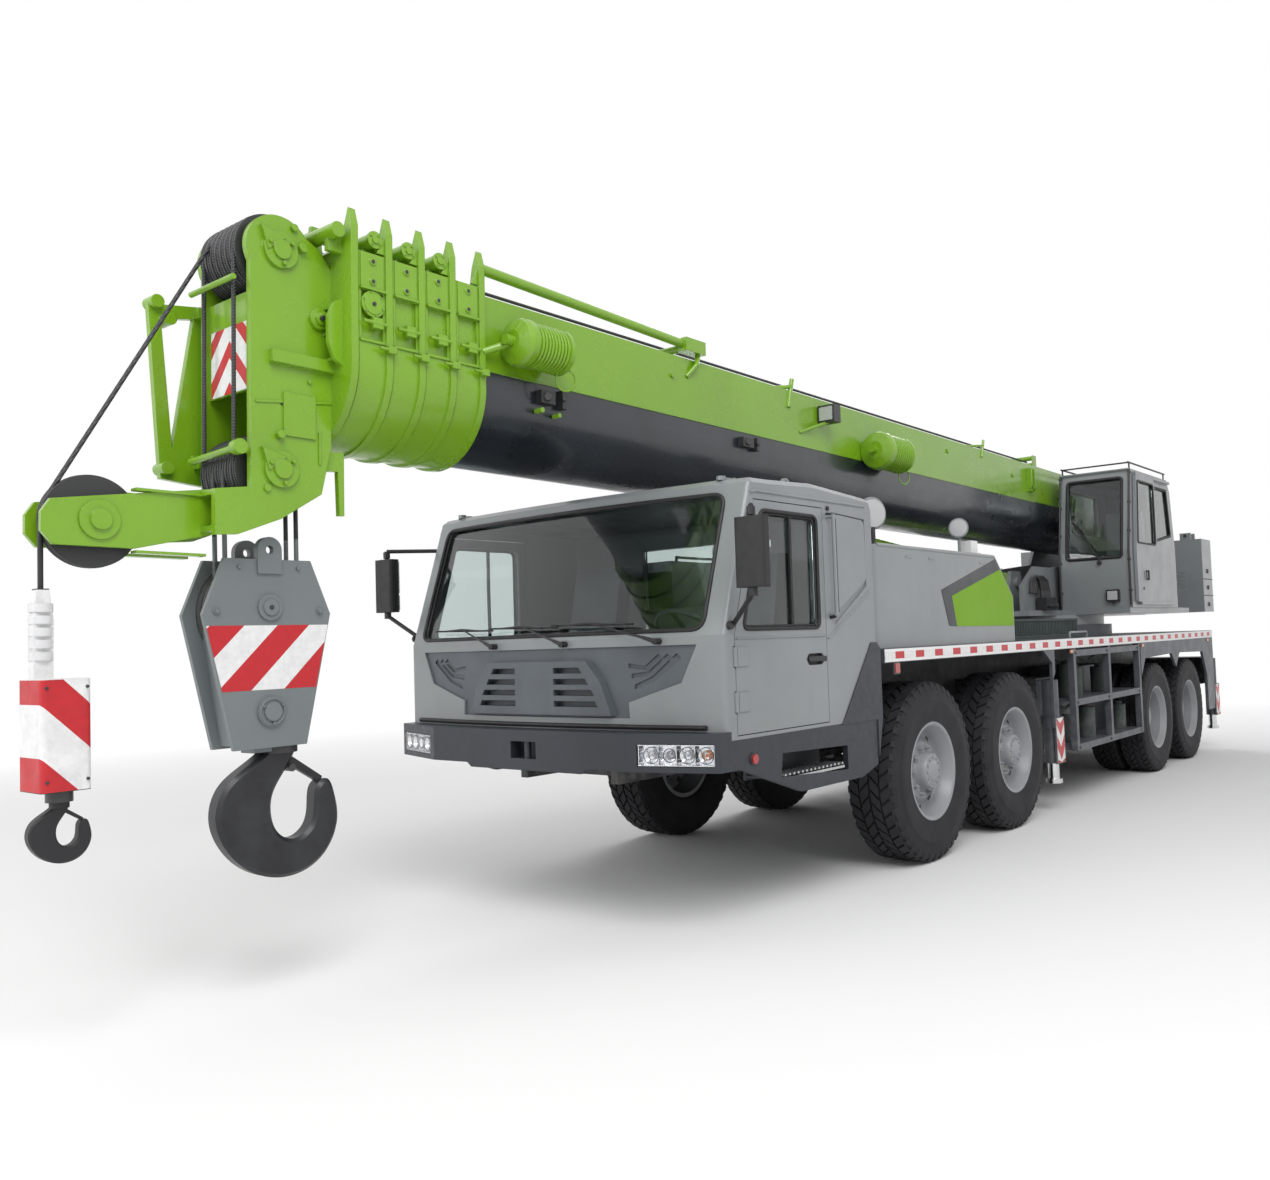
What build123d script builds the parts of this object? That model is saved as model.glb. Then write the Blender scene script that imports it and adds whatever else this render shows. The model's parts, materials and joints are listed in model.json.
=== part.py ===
"""A four-axle telescopic truck crane, one STEP file for each sub-part.

Millimetres. +X is forward, +Y is the crane's left, +Z is up, and the floor is z = 0.
The origin is on the floor, under the middle of the whole crane as it travels.
"""

import os
from math import cos, hypot, pi, sin

from build123d import *

os.makedirs("parts", exist_ok=True)

# ---------------------------------------------------------------- driving dimensions
# Carrier
half_width = 1375.0
bumper_x = 4300.0
tail_x = -7270.0
deck_front_x = 2500.0
deck_rear_x = -6320.0
deck_top = 1553.0
deck_plate = 53.0
fascia_drop = 44.0
skirt_plate = 30.0
rail_outer_y = 430.0
rail_web = 60.0
rail_bottom = 800.0
frame_rear_x = -6790.0
frame_front_x = 4130.0
cross_beam = 100.0
running_gap = 5.0
seat_gap = 0.3
shaft_gap = 0.5

# Axles, front to rear: name, place along the crane, steered or driven
AXLES = (
    ("1", 1749.0, True),
    ("2", 231.0, True),
    ("3", -3873.0, False),
    ("4", -5245.0, False),
)
SIDES = (("left", 1), ("right", -1))
steer_tyre_radius = 650.0
steer_tyre_width = 385.0
drive_tyre_radius = 610.0
drive_tyre_width = 300.0
twin_gap = 30.0
tyre_outer_y = 1345.0
rim_radius = 335.0
rim_wall = 14.0
tyre_facets = 30
tyre_shoulder = 22.0
hub_radius = 125.0
spindle_radius = 60.0
axle_radius = 90.0
kingpin_y = 880.0
kingpin_radius = 45.0
kingpin_boss = 75.0
knuckle_height = 250.0

# Carrier cab
cab_rear_x = 2610.0
cab_wall = 60.0
cab_floor = 1100.0
bumper_bottom = 908.0
bumper_top = 1149.0
skirt_bottom = 740.0
cowl_z = 1680.0
roof_z = 2576.0
roof_front_x = 4000.0
nose_x = 4370.0
nose_bow = 80.0
nose_bow_half = 1200.0
cab_corner = 40.0
roof_edge = 30.0
cab_front_x = 4290.0
screen_half = 1240.0
screen_corner = 75.0
mask_recess = 14.0
grille_rise = 30.0
bumper_nose_x = 4500.0
bumper_end_x = 4345.0
bumper_bend_y = 850.0
lamp_inner_y = 900.0
lamp_outer_y = 1345.0
lamp_bottom = 968.0
lamp_top = 1092.0
pane = 8.0
door_rear_x = 3220.0
door_front_x = 4180.0
door_bottom = 1120.0
door_top = 2450.0
door_gap = 5.0
hinge_radius = 14.0
hinge_length = 110.0
hinge_heights = (1250.0, 1500.0)

# Hood behind the cab
hood_front_x = 2560.0
hood_rear_x = 70.0
hood_top = 2270.0
hood_outer_y = 1300.0
hood_inner_y = 400.0
hood_channel_z = 1790.0
engine_length = 1500.0
engine_front_x = 2150.0
engine_half_width = 300.0
engine_top = 1750.0

# Outriggers: name, place along the crane
OUTRIGGERS = (("front", -790.0), ("rear", -6560.0))
ladder_front_x = -1130.0
ladder_rear_x = -3190.0
box_width = 440.0
box_wall = 12.0
box_bottom = 850.0
box_height = 350.0
box_half_length = 1215.0
jack_y = 1295.0
jack_radius = 72.0
jack_bottom = 440.0
guard_half = 100.0
jack_rod_radius = 50.0
float_radius = 150.0
float_bottom = 262.0
float_height = 40.0

# Superstructure
slew_x = -3700.0
ring_radius = 800.0
ring_base_top = 1680.0
platform_bottom = 1790.0
platform_top = 1850.0
turntable_front_x = -2350.0
turntable_rear_x = -6560.0
side_plate = 40.0
side_gap = 15.0
op_cab_front_x = -3300.0
op_cab_rear_x = -4980.0
op_cab_inner_y = 500.0
op_cab_outer_y = 1290.0
op_cab_floor = 1850.0
op_cab_top = 3400.0
op_cab_wall = 50.0
op_door_thick = 35.0
weight_half_width = 1250.0
weight_top = 2780.0
drum_radius = 150.0
drum_flange_radius = 225.0

# Boom, in its own frame: x runs forward from the foot pin along the boom, z is square to it
pivot_x = -5450.0
pivot_z = 2850.0
boom_pitch = 0.7
boom_half_width = 370.0
boom_top = 616.0
belly_centre = 90.0
section_step = 36.0
boom_wall = 10.0
boom_tail = 250.0
inner_tail_x = 150.0
tail_step = 30.0
slide_ring = 120.0
collar_first_x = 10520.0
collar_pitch = 200.0
collar_flange = 40.0
collar_band = 150.0
collar_rim = 40.0
horn_height = 190.0
band_inset = 12.0
band_holes = (500.0, 600.0)
band_window = (210.0, 450.0)
band_window_depth = 18.0
SECTIONS = 5
head_length = 420.0
head_half_width = 230.0
head_plate = 35.0
upper_pin = (11630.0, 591.0)
lower_pin = (11630.0, -465.0)
arm_pin = (12386.0, -749.0)
arm_inner_y = 70.0
head_sheave_radius = 190.0
arm_sheave_radius = 200.0
sheave_pin_radius = 50.0
head_grooves = 7
groove_pitch = 46.0
groove_width = 32.0
groove_slope = 4.0
groove_depth = 18.0
luff_foot = (-2900.0, 2180.0)
luff_eye = (1450.0, 2500.0)
barrel_radius = 140.0
rod_radius = 90.0
eye_radius = 110.0
eye_width = 190.0
foot_pin_radius = 60.0

# Fittings on the boom, in its frame: cable reels as front face, height, radius, length
REELS = (
    (10410.0, 358.0, 135.0, 370.0),
    (6420.0, 268.0, 160.0, 450.0),
)
# Round bars: start, end, radius
BOOM_BARS = (
    ((10530.0, 375.0, 760.0), (8660.0, 375.0, 705.0), 30.0),
    ((8690.0, 375.0, 705.0), (8950.0, 215.0, 610.0), 26.0),
    ((8600.0, 380.0, 665.0), (8650.0, 400.0, 570.0), 18.0),
    ((8650.0, 400.0, 575.0), (8720.0, 365.0, 490.0), 18.0),
    ((7480.0, 372.0, 480.0), (7430.0, 378.0, 705.0), 18.0),
    ((7450.0, 378.0, 645.0), (7640.0, 300.0, 610.0), 16.0),
    ((7330.0, 365.0, 306.0), (7010.0, 450.0, 425.0), 14.0),
    ((10530.0, 395.0, 290.0), (10380.0, 470.0, 358.0), 22.0),
)

# Hooks
block_half_thickness = 110.0
block_half_width = 325.0
rope_radius = 11.0
aux_hang = 30.0
aux_half_thickness = 120.0
main_throat = 115.0
main_throat_z = 875.0
main_throat_shift = -150.0
aux_throat = 44.0
aux_throat_z = 935.0
aux_throat_shift = -60.0
# Single hook from the shank's rear down round the throat and back up: x, z in throat radii
HOOK_CURVE = (
    (-0.11, 2.65),
    (0.45, 1.75),
    (0.92, 0.95),
    (1.00, 0.15),
    (0.62, -0.75),
    (-0.05, -1.02),
    (-0.75, -0.62),
    (-1.00, 0.35),
    (-1.25, 1.20),
    (-1.60, 1.32),
    (-1.95, 0.75),
    (-2.11, -0.53),
    (-1.53, -1.80),
    (-0.44, -2.47),
    (0.90, -2.50),
    (2.10, -1.95),
    (3.00, -0.95),
    (3.38, 0.25),
    (3.00, 1.45),
    (2.05, 2.20),
    (1.17, 2.80),
)


# ---------------------------------------------------------------- helpers
def block(x0, x1, y0, y1, z0, z1):
    """A box between two corners, given in any order."""
    size = (abs(x1 - x0), abs(y1 - y0), abs(z1 - z0))
    return Pos((x0 + x1) / 2, (y0 + y1) / 2, (z0 + z1) / 2) * Box(*size)


def post(x, y, radius, z0, z1):
    """An upright cylinder."""
    return Pos(x, y, (z0 + z1) / 2) * Cylinder(radius, z1 - z0)


def shaft(x, z, radius, y0, y1):
    """A cylinder across the crane."""
    return Pos(x, (y0 + y1) / 2, z) * Rot(90, 0, 0) * Cylinder(radius, abs(y1 - y0))


def bar(start, end, radius):
    """A round bar between two points."""
    line = Vector(*end) - Vector(*start)
    middle = (Vector(*start) + Vector(*end)) * 0.5
    return Plane(middle, z_dir=line) * Cylinder(radius, line.length)


def side_profile(points, y0, y1):
    """A plate whose outline lies in the XZ plane."""
    face = make_face(Polyline(*[(x, 0, z) for x, z in points], close=True))
    return Pos(0, min(y0, y1), 0) * extrude(face, amount=abs(y1 - y0), dir=(0, 1, 0))


def front_profile(points, x0, x1):
    """A plate whose outline lies in the YZ plane."""
    face = make_face(Polyline(*[(0, y, z) for y, z in points], close=True))
    return Pos(min(x0, x1), 0, 0) * extrude(face, amount=abs(x1 - x0), dir=(1, 0, 0))


def plan_profile(points, z0, z1):
    """A plate whose outline lies in the XY plane."""
    face = make_face(Polyline(*[(x, y, 0) for x, y in points], close=True))
    return Pos(0, 0, z0) * extrude(face, amount=z1 - z0, dir=(0, 0, 1))


def both_sides(shape):
    """A shape and its twin across the crane's middle plane."""
    return shape + mirror(shape, about=Plane.XZ)


def save(name, shape):
    export_step(shape, f"parts/{name}.step")


# ---------------------------------------------------------------- wheels
def facet_ring(x, y, z, radius):
    """The corners of one ring of a tyre, with a flat lying on the floor."""
    step = 2 * pi / tyre_facets
    corner = radius / cos(step / 2)
    turns = [(number + 0.5) * step for number in range(tyre_facets)]
    return [(x + corner * sin(turn), y, z + corner * cos(turn)) for turn in turns]


def tyre(x, radius, width, inner_y, side):
    """A tyre whose tread, shoulders, walls and bore are rings of flat facets."""
    # share of the width from the middle, radius
    shape = (
        (-0.42, rim_radius),
        (-0.50, (rim_radius + radius) / 2),
        (-0.45, radius - tyre_shoulder),
        (-0.40, radius),
        (0.40, radius),
        (0.45, radius - tyre_shoulder),
        (0.50, (rim_radius + radius) / 2),
        (0.42, rim_radius),
    )
    middle = side * (inner_y + width / 2)
    rings = [facet_ring(x, middle + share * width, radius, r) for share, r in shape]
    facets = []
    for ring, following in zip(rings, rings[1:] + rings[:1]):
        for number in range(tyre_facets):
            after = (number + 1) % tyre_facets
            corners = (ring[number], ring[after], following[after], following[number])
            facets.append(Face(Wire.make_polygon(corners)))
    return Solid(Shell(facets))


def rim_barrel(x, z, y0, y1, facets_radius):
    """One rim's barrel, with the same number of flats as its tyre."""
    place = Location((x, 0, z), (90, 0, 0))
    turn = 90 + 180 / tyre_facets
    outer = RegularPolygon(facets_radius, tyre_facets, major_radius=False, rotation=turn)
    tube = extrude(place * Pos(0, 0, -y0) * outer, amount=-(y1 - y0))
    return tube - shaft(x, z, facets_radius - rim_wall, y0 - 1, y1 + 1)


def steer_wheel(x, side):
    """The rim of a steered wheel: barrel, dished disc, hub and planetary cap."""
    z = steer_tyre_radius
    outer = tyre_outer_y
    inner = outer - steer_tyre_width
    y0 = inner + 0.08 * steer_tyre_width
    y1 = outer - 0.06 * steer_tyre_width
    disc_y = outer - 110.0
    radius = rim_radius - seat_gap
    rim = rim_barrel(x, z, min(side * y0, side * y1), max(side * y0, side * y1), radius)
    rim += shaft(x, z, radius - rim_wall + 1, side * disc_y, side * (disc_y + 18))
    rim += shaft(x, z, hub_radius, side * (inner + 95), side * (outer - 15))
    rim -= shaft(x, z, spindle_radius + shaft_gap, side * inner, side * (disc_y - 30))
    return rim


def twin_wheel(x, side):
    """Two drive rims bolted back to back on one hub, with the deep outer dish."""
    z = drive_tyre_radius
    outer = tyre_outer_y
    inner = outer - 2 * drive_tyre_width - twin_gap
    radius = rim_radius - seat_gap
    middle = (outer + inner) / 2
    y0 = inner + 0.08 * drive_tyre_width
    y1 = outer - 0.06 * drive_tyre_width
    rim = rim_barrel(x, z, min(side * y0, side * y1), max(side * y0, side * y1), radius)
    rim += shaft(x, z, radius - rim_wall + 1, side * (middle - 12), side * (middle + 12))
    rim += shaft(x, z, hub_radius, side * (inner + 60), side * (outer - 90))
    bore_end = side * (outer - 130)
    rim -= shaft(x, z, spindle_radius + shaft_gap, side * inner, bore_end)
    return rim


def knuckle(x, side):
    """A steering knuckle: two ears over the axle's end, a web and the spindle."""
    z = steer_tyre_radius
    half = knuckle_height / 2
    ear = 28.0
    web_y0 = kingpin_y + kingpin_boss + 2 * running_gap
    web_y1 = tyre_outer_y - steer_tyre_width + 60.0
    shape = block(x - 70, x + 70, web_y0, web_y1, z - half, z + half)
    for low in (z - half, z + half - ear):
        shape += block(x - 60, x + 60, kingpin_y, web_y0, low, low + ear)
        shape += post(x, kingpin_y, 60, low, low + ear)
    shape += post(x, kingpin_y, kingpin_radius, z - half, z + half)
    shape += shaft(x, z, spindle_radius, web_y1, tyre_outer_y - 160)
    low = z - half
    shape += block(x - 300, x - 40, kingpin_y - 60, kingpin_y, low, low + ear)
    shape += post(x - 300, kingpin_y - 30, 30, low, low + ear)
    return shape if side > 0 else mirror(shape, about=Plane.XZ)


def make_wheels():
    for name, x, steered in AXLES:
        for side_name, side in SIDES:
            label = f"{name}_{side_name}"
            if steered:
                inner = tyre_outer_y - steer_tyre_width
                rubber = tyre(x, steer_tyre_radius, steer_tyre_width, inner, side)
                save(f"tyre_{label}", rubber)
                save(f"rim_{label}", steer_wheel(x, side))
                save(f"knuckle_{label}", knuckle(x, side))
            else:
                outer_inner = tyre_outer_y - drive_tyre_width
                inner_inner = outer_inner - twin_gap - drive_tyre_width
                pair = [
                    tyre(x, drive_tyre_radius, drive_tyre_width, inner_y, side)
                    for inner_y in (outer_inner, inner_inner)
                ]
                save(f"tyre_{label}", Compound(children=pair))
                save(f"rim_{label}", twin_wheel(x, side))


def axle_beams():
    """All four axles with their differentials and leaf springs."""
    spring_y0 = rail_outer_y + 15
    spring_y1 = spring_y0 + 80
    beams = []
    for _, x, steered in AXLES:
        z = steer_tyre_radius if steered else drive_tyre_radius
        if steered:
            reach = kingpin_y - kingpin_boss + 20
            beam = shaft(x, z, axle_radius, -reach, reach)
            boss = knuckle_height / 2 - 28.0 - 2.0
            for side in (1, -1):
                eye = post(x, side * kingpin_y, kingpin_boss, z - boss, z + boss)
                eye -= post(x, side * kingpin_y, kingpin_radius + shaft_gap, z - 200, z + 200)
                beam += eye
        else:
            inner = tyre_outer_y - 2 * drive_tyre_width - twin_gap + 60
            beam = shaft(x, z, axle_radius, -inner + 20, inner - 20)
            reach = tyre_outer_y - 150
            beam += shaft(x, z, spindle_radius, -reach, reach)
            beam += Pos(x, 0, z) * Sphere(190)
        for side in (1, -1):
            spring_top = rail_bottom - 15.0
            beam += block(
                x - 60, x + 60, side * spring_y0, side * spring_y1, z, spring_top - 30
            )
            beam += block(
                x - 520,
                x + 520,
                side * spring_y0,
                side * spring_y1,
                spring_top - 40,
                spring_top,
            )
            for end in (-480, 480):
                beam += block(
                    x + end - 40,
                    x + end + 40,
                    side * rail_outer_y,
                    side * spring_y1,
                    spring_top - 40,
                    rail_bottom + 120,
                )
        beams.append(beam)
    save("axle_beams", Compound(children=beams))


# ---------------------------------------------------------------- carrier
def outrigger_box(x):
    """The square tube that carries one pair of outrigger beams."""
    half = box_width / 2
    top = box_bottom + box_height
    outer = block(x - half, x + half, -box_half_length, box_half_length, box_bottom, top)
    inner = block(
        x - half + box_wall,
        x + half - box_wall,
        -box_half_length - 1,
        box_half_length + 1,
        box_bottom + box_wall,
        top - box_wall,
    )
    return outer, inner


def chassis_frame():
    rail_inner = rail_outer_y - rail_web
    top = deck_top - deck_plate
    web_rear = frame_rear_x
    profile = (
        (web_rear, rail_bottom),
        (frame_front_x, rail_bottom),
        (frame_front_x, cab_floor - 100),
        (deck_front_x + 50, cab_floor - 100),
        (deck_front_x - 250, top),
        (deck_rear_x - 20, top),
        (web_rear, top - 250),
    )
    frame = both_sides(side_profile(profile, rail_inner, rail_outer_y))
    for x in (3900.0, 2350.0, 620.0, -1700.0, -2500.0, -4600.0, -6100.0):
        frame += block(
            x - cross_beam / 2,
            x + cross_beam / 2,
            -rail_inner,
            rail_inner,
            rail_bottom + 20,
            rail_bottom + 200,
        )
    for x in (2780.0, 4000.0):
        for side in (1, -1):
            frame += block(
                x - 60,
                x + 60,
                side * rail_inner,
                side * rail_outer_y,
                cab_floor - 100,
                cab_floor - seat_gap,
            )
    for _, x in OUTRIGGERS:
        outer, inner = outrigger_box(x)
        frame = frame + outer - inner
    save("chassis_frame", frame)


def carrier_deck():
    low = deck_top - deck_plate
    edge = low - fascia_drop
    deck = block(deck_rear_x, deck_front_x, -half_width, half_width, low, deck_top)
    fascia = block(
        deck_rear_x, deck_front_x, half_width - skirt_plate, half_width, edge, low
    )
    steer_clear = 800.0
    last_steered = AXLES[1][1]
    first_driven = AXLES[2][1]
    last_driven = AXLES[3][1]
    behind = last_steered - steer_clear
    arch = drive_tyre_radius + 60
    skirt_front = ladder_rear_x - running_gap
    middle = (first_driven + last_driven) / 2
    beam_clear = box_bottom + box_height + running_gap
    # the front fender's trailing gusset, ahead of the outrigger beam's way out
    gusset = (
        (behind + 200, edge),
        (behind - 60, edge),
        (behind - 60, beam_clear + 50),
        (behind - 10, beam_clear),
        (behind - 10, 760.0),
        (behind, 760.0),
        (behind, 1340.0),
    )
    # skirt over the drive wheels, with the points between the arches
    skirt = (
        (skirt_front, edge),
        (skirt_front, 1100.0),
        (first_driven + arch - 150, 1290.0),
        (middle + 170, 1310.0),
        (middle, 1150.0),
        (middle - 170, 1310.0),
        (last_driven - arch + 130, 1290.0),
        (last_driven - arch - 60, 980.0),
        (last_driven - arch - 60, 540.0),
        (deck_rear_x + 50, 540.0),
        (deck_rear_x, 640.0),
        (deck_rear_x, edge),
    )
    outer_y = half_width
    inner_y = half_width - skirt_plate
    sides = fascia
    sides += side_profile(gusset, inner_y, outer_y)
    sides += side_profile(skirt, inner_y, outer_y)
    deck += both_sides(sides)
    deck += post(slew_x, 0, ring_radius + 80, deck_top, ring_base_top)
    room = engine_half_width + 20
    deck -= block(
        engine_front_x - engine_length - 20, engine_front_x + 20, -room, room, low, deck_top
    )
    save("carrier_deck", deck)


def engine_hood():
    side = (
        (hood_front_x, deck_top),
        (hood_front_x, hood_top),
        (hood_rear_x + 350, hood_top - 8),
        (hood_rear_x, hood_top - 340),
        (hood_rear_x, deck_top),
    )
    box = side_profile(side, hood_inner_y, hood_outer_y)
    corner = [e for e in box.edges().filter_by(Axis.Z) if e.center().X > hood_front_x - 1]
    corner = [e for e in corner if e.center().Y > hood_outer_y - 1]
    box = fillet(corner, 140)
    hood = both_sides(box)
    hood += block(
        hood_rear_x + 200,
        hood_front_x,
        -hood_inner_y,
        hood_inner_y,
        hood_channel_z - 20,
        hood_channel_z,
    )
    save("engine_hood", hood)
    engine = block(
        engine_front_x - engine_length,
        engine_front_x,
        -engine_half_width,
        engine_half_width,
        rail_bottom + 200,
        engine_top,
    )
    foot_reach = rail_outer_y - rail_web - seat_gap
    for x in (engine_front_x - 250, engine_front_x - engine_length + 250):
        engine += block(x - 60, x + 60, -foot_reach, foot_reach, 1150, 1230)
    save("engine_block", engine)


# ---------------------------------------------------------------- carrier cab
def cab_outline(inset):
    """The cab's roof and rear as seen from the side, drawn in by inset all round."""
    ahead = nose_x + 200
    face = make_face(
        Polyline(
            (cab_rear_x, 0, cab_floor),
            (ahead, 0, cab_floor),
            (ahead, 0, roof_z - 10),
            (roof_front_x - 200, 0, roof_z),
            (cab_rear_x + 700, 0, roof_z + 20),
            (cab_rear_x + 40, 0, roof_z - 20),
            (cab_rear_x, 0, roof_z - 100),
            close=True,
        )
    )
    return offset(face, amount=-inset, kind=Kind.INTERSECTION) if inset else face


def cab_plan(inset, rear_x):
    """The cab from above: straight sides, rounded corners and a bowed front."""
    wide = half_width - inset
    front = nose_x - inset
    bow_radius = (nose_bow_half**2 + nose_bow**2) / (2 * nose_bow)
    edge = front - (bow_radius - (bow_radius**2 - wide**2) ** 0.5)
    bow = ThreePointArc((edge, -wide), (front, 0), (edge, wide))
    rest = Polyline((edge, wide), (rear_x, wide), (rear_x, -wide), (edge, -wide))
    face = make_face([bow, rest])
    corners = [v for v in face.vertices() if v.X > rear_x + 1]
    return fillet(corners, cab_corner - inset) if cab_corner - inset > 1 else face


def cab_body(inset):
    """The whole cab block: upright to the cowl, raked above it."""
    rake = (roof_front_x - cab_front_x) / (roof_z - cowl_z)
    low = Pos(0, 0, cab_floor - 1) * extrude(
        cab_plan(inset, cab_rear_x - 1), amount=cowl_z - cab_floor + 1, dir=(0, 0, 1)
    )
    rise = roof_z + 60 - cowl_z
    lean = Vector(rake, 0, 1)
    high = Pos(0, 0, cowl_z) * extrude(
        cab_plan(inset, cab_rear_x - 1), amount=rise * lean.length, dir=lean.normalized()
    )
    body = low + high
    return body & slab(cab_outline(inset), -half_width - 1, half_width + 1)


def door_outline(inset):
    """The door's outline: upright at the rear, raked with the windscreen post."""
    return offset(
        make_face(
            Polyline(
                (door_rear_x, 0, door_bottom),
                (door_front_x, 0, door_bottom),
                (door_front_x, 0, cowl_z),
                (roof_front_x - 45, 0, door_top),
                (door_rear_x, 0, door_top),
                close=True,
            )
        ),
        amount=-inset,
        kind=Kind.INTERSECTION,
    )


def slab(face, y0, y1):
    """A face in the XZ plane thickened between two places across the crane."""
    return Pos(0, min(y0, y1), 0) * extrude(face, amount=abs(y1 - y0), dir=(0, 1, 0))


def mask_outline(inset):
    """Dark front mask between the silver corner panels, from the left and down."""
    top = cowl_z - 50 - inset
    low = bumper_top + 70 + inset
    half = [
        (730 - inset, low),
        (725 - inset, 1310.0),
        (930 - inset, 1372.0 + inset),
        (1090 - inset, 1420.0 + inset),
        (1195 - inset, top),
    ]
    return half + [(-y, z) for y, z in reversed(half)]


def grille_outline(inset):
    """The raised hexagon in the middle of the mask."""
    return [
        (-620 + inset, bumper_top + 85 + inset),
        (620 - inset, bumper_top + 85 + inset),
        (540 - inset, 1430.0),
        (430 - inset, 1555.0 - inset),
        (-430 + inset, 1555.0 - inset),
        (-540 + inset, 1430.0),
    ]


def screen_opening(inset):
    """A prism through the windscreen's opening, with blunted corners."""
    low = cowl_z + 25
    high = roof_z - 82
    radius = screen_corner - inset
    wide = screen_half - inset - radius
    tall = (high - low) / 2 - inset - radius
    points = []
    for quarter, (y, z) in enumerate(((wide, tall), (-wide, tall), (-wide, -tall), (wide, -tall))):
        for part in range(4):
            turn = pi / 2 * (quarter + part / 3)
            points.append((y + radius * cos(turn), (low + high) / 2 + z + radius * sin(turn)))
    return front_profile(points, roof_front_x - 300, nose_x + 100)


def cab_shell():
    shell = cab_body(0)
    edges = shell.edges().filter_by(lambda e: e.center().Z > roof_z - 15)
    edges = edges.filter_by(lambda e: abs(e.center().Y) > half_width - 1)
    shell = chamfer(edges, roof_edge)
    inner_y = half_width - cab_wall
    shell -= cab_body(cab_wall)
    shell -= screen_opening(0)
    for side in (1, -1):
        shell -= slab(door_outline(0), side * (inner_y - 1), side * (half_width + 1))
        for z in hinge_heights:
            pocket = hinge_radius + seat_gap
            shell -= post(door_front_x, side * half_width, pocket, z - 5, z + hinge_length + 5)
        # the panel behind the door is pressed in above a rising crease
        panel = (
            (door_rear_x - 110, cowl_z + 40),
            (door_rear_x - 110, door_top - 20),
            (cab_rear_x + 90, door_top - 40),
            (cab_rear_x + 90, cowl_z + 290),
        )
        shell -= side_profile(panel, side * (half_width - 12), side * (half_width + 1))
        # upright grab rail behind the door
        rail_x = door_rear_x - 50
        rail_y = side * (half_width + 50)
        shell += post(rail_x, rail_y, 13, 1775, 2410)
        for z in (1790, 2395):
            shell += shaft(rail_x, z, 13, side * (half_width - 10), rail_y)
    shell -= front_profile(mask_outline(0), nose_x - 300, nose_x + 1) - cab_body(cab_wall)
    # rear window
    shell -= block(cab_rear_x - 1, cab_rear_x + cab_wall + 1, -600, 600, 1900, 2350)
    # lifting eyes and marker domes on the roof
    for side in (1, -1):
        shell += Pos(roof_front_x - 80, side * 1150, roof_z - 25) * Cylinder(45, 80)
        eye = shaft(3300, roof_z + 35, 42, side * 1150, side * 1172)
        eye += block(3258, 3342, side * 1150, side * 1172, roof_z - 20, roof_z + 35)
        eye -= shaft(3300, roof_z + 40, 20, side * 1149, side * 1173)
        shell += eye
    save("cab_shell", shell)


def cab_mask():
    """Recessed mask with its raised grille, four louvres a side and three slanted vents."""
    face = cab_body(mask_recess)
    mask = face & front_profile(mask_outline(seat_gap), nose_x - 300, nose_x + 1)
    mask -= cab_body(cab_wall + seat_gap)
    raised = cab_body(-grille_rise) - cab_body(mask_recess + 1)
    mask += raised & front_profile(grille_outline(0), nose_x - 300, nose_x + 60)
    deep = cab_body(mask_recess + 12)
    cuts = []
    low = bumper_top + 135
    # louvre: height above the first, half length of its two ends
    for rise, end in ((0, 520), (66, 495), (132, 450), (198, 400)):
        for side in (1, -1):
            cuts.append(
                front_profile(
                    (
                        (side * 170, low + rise),
                        (side * end, low + rise),
                        (side * (end - 22), low + rise + 34),
                        (side * 170, low + rise + 34),
                    ),
                    nose_x - 300,
                    nose_x + 100,
                )
            )
    for number in range(3):
        step = 62 * number
        for side in (1, -1):
            cuts.append(
                front_profile(
                    (
                        (side * (760 - step / 3), 1385 + step),
                        (side * (900 - step / 3), 1430 + step / 2),
                        (side * (1085 - step), 1560),
                        (side * (1055 - step), 1585),
                        (side * (880 - step / 3), 1455 + step / 2),
                        (side * (760 - step / 3), 1410 + step),
                    ),
                    nose_x - 300,
                    nose_x + 100,
                )
            )
    for shape in cuts:
        mask -= shape - deep
    save("cab_mask", mask)


def glass_panes():
    """Windscreen and rear window."""
    set_back = 20.0
    screen = (cab_body(set_back) - cab_body(set_back + pane)) & screen_opening(seat_gap)
    rear = block(
        cab_rear_x + 20,
        cab_rear_x + 20 + pane,
        -600 + seat_gap,
        600 - seat_gap,
        1900 + seat_gap,
        2350 - seat_gap,
    )
    save("cab_glass", Compound(children=[*screen.solids(), rear]))


def cab_door(side_name, side):
    inner_y = half_width - cab_wall
    door = slab(door_outline(door_gap), side * inner_y, side * half_width)
    window = make_face(
        Polyline(
            (door_rear_x + 80, 0, cowl_z + 30),
            (door_front_x - 90, 0, cowl_z + 30),
            (roof_front_x - 115, 0, door_top - 65),
            (door_rear_x + 80, 0, door_top - 65),
            close=True,
        )
    )
    window = fillet(window.vertices(), 45)
    door -= slab(window, side * (inner_y - 1), side * (half_width + 1))
    # handle in its recess
    handle_x = door_rear_x + 135
    recess = Pos(handle_x, side * half_width, 1515) * Rot(90, 0, 0)
    door -= recess * extrude(SlotOverall(190, 70), amount=22, both=True)
    door += block(
        handle_x - 70, handle_x + 70, side * (half_width - 25), side * half_width, 1507, 1527
    )
    glass = slab(
        offset(window, amount=-seat_gap),
        side * (inner_y + 25),
        side * (inner_y + 25 + pane),
    )
    for z in hinge_heights:
        door += post(door_front_x, side * half_width, hinge_radius, z, z + hinge_length)
        door += block(
            door_front_x - 25,
            door_front_x,
            side * (half_width - 12),
            side * half_width,
            z,
            z + hinge_length,
        )
    save(f"cab_door_{side_name}", Compound(children=[door, glass]))


def bumper_front(y, inset=0.0):
    """How far forward the bumper's face is at a place across the crane."""
    sweep = (bumper_nose_x - bumper_end_x) / (half_width - bumper_bend_y)
    return bumper_nose_x - inset - sweep * max(abs(y) - bumper_bend_y, 0.0)


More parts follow.
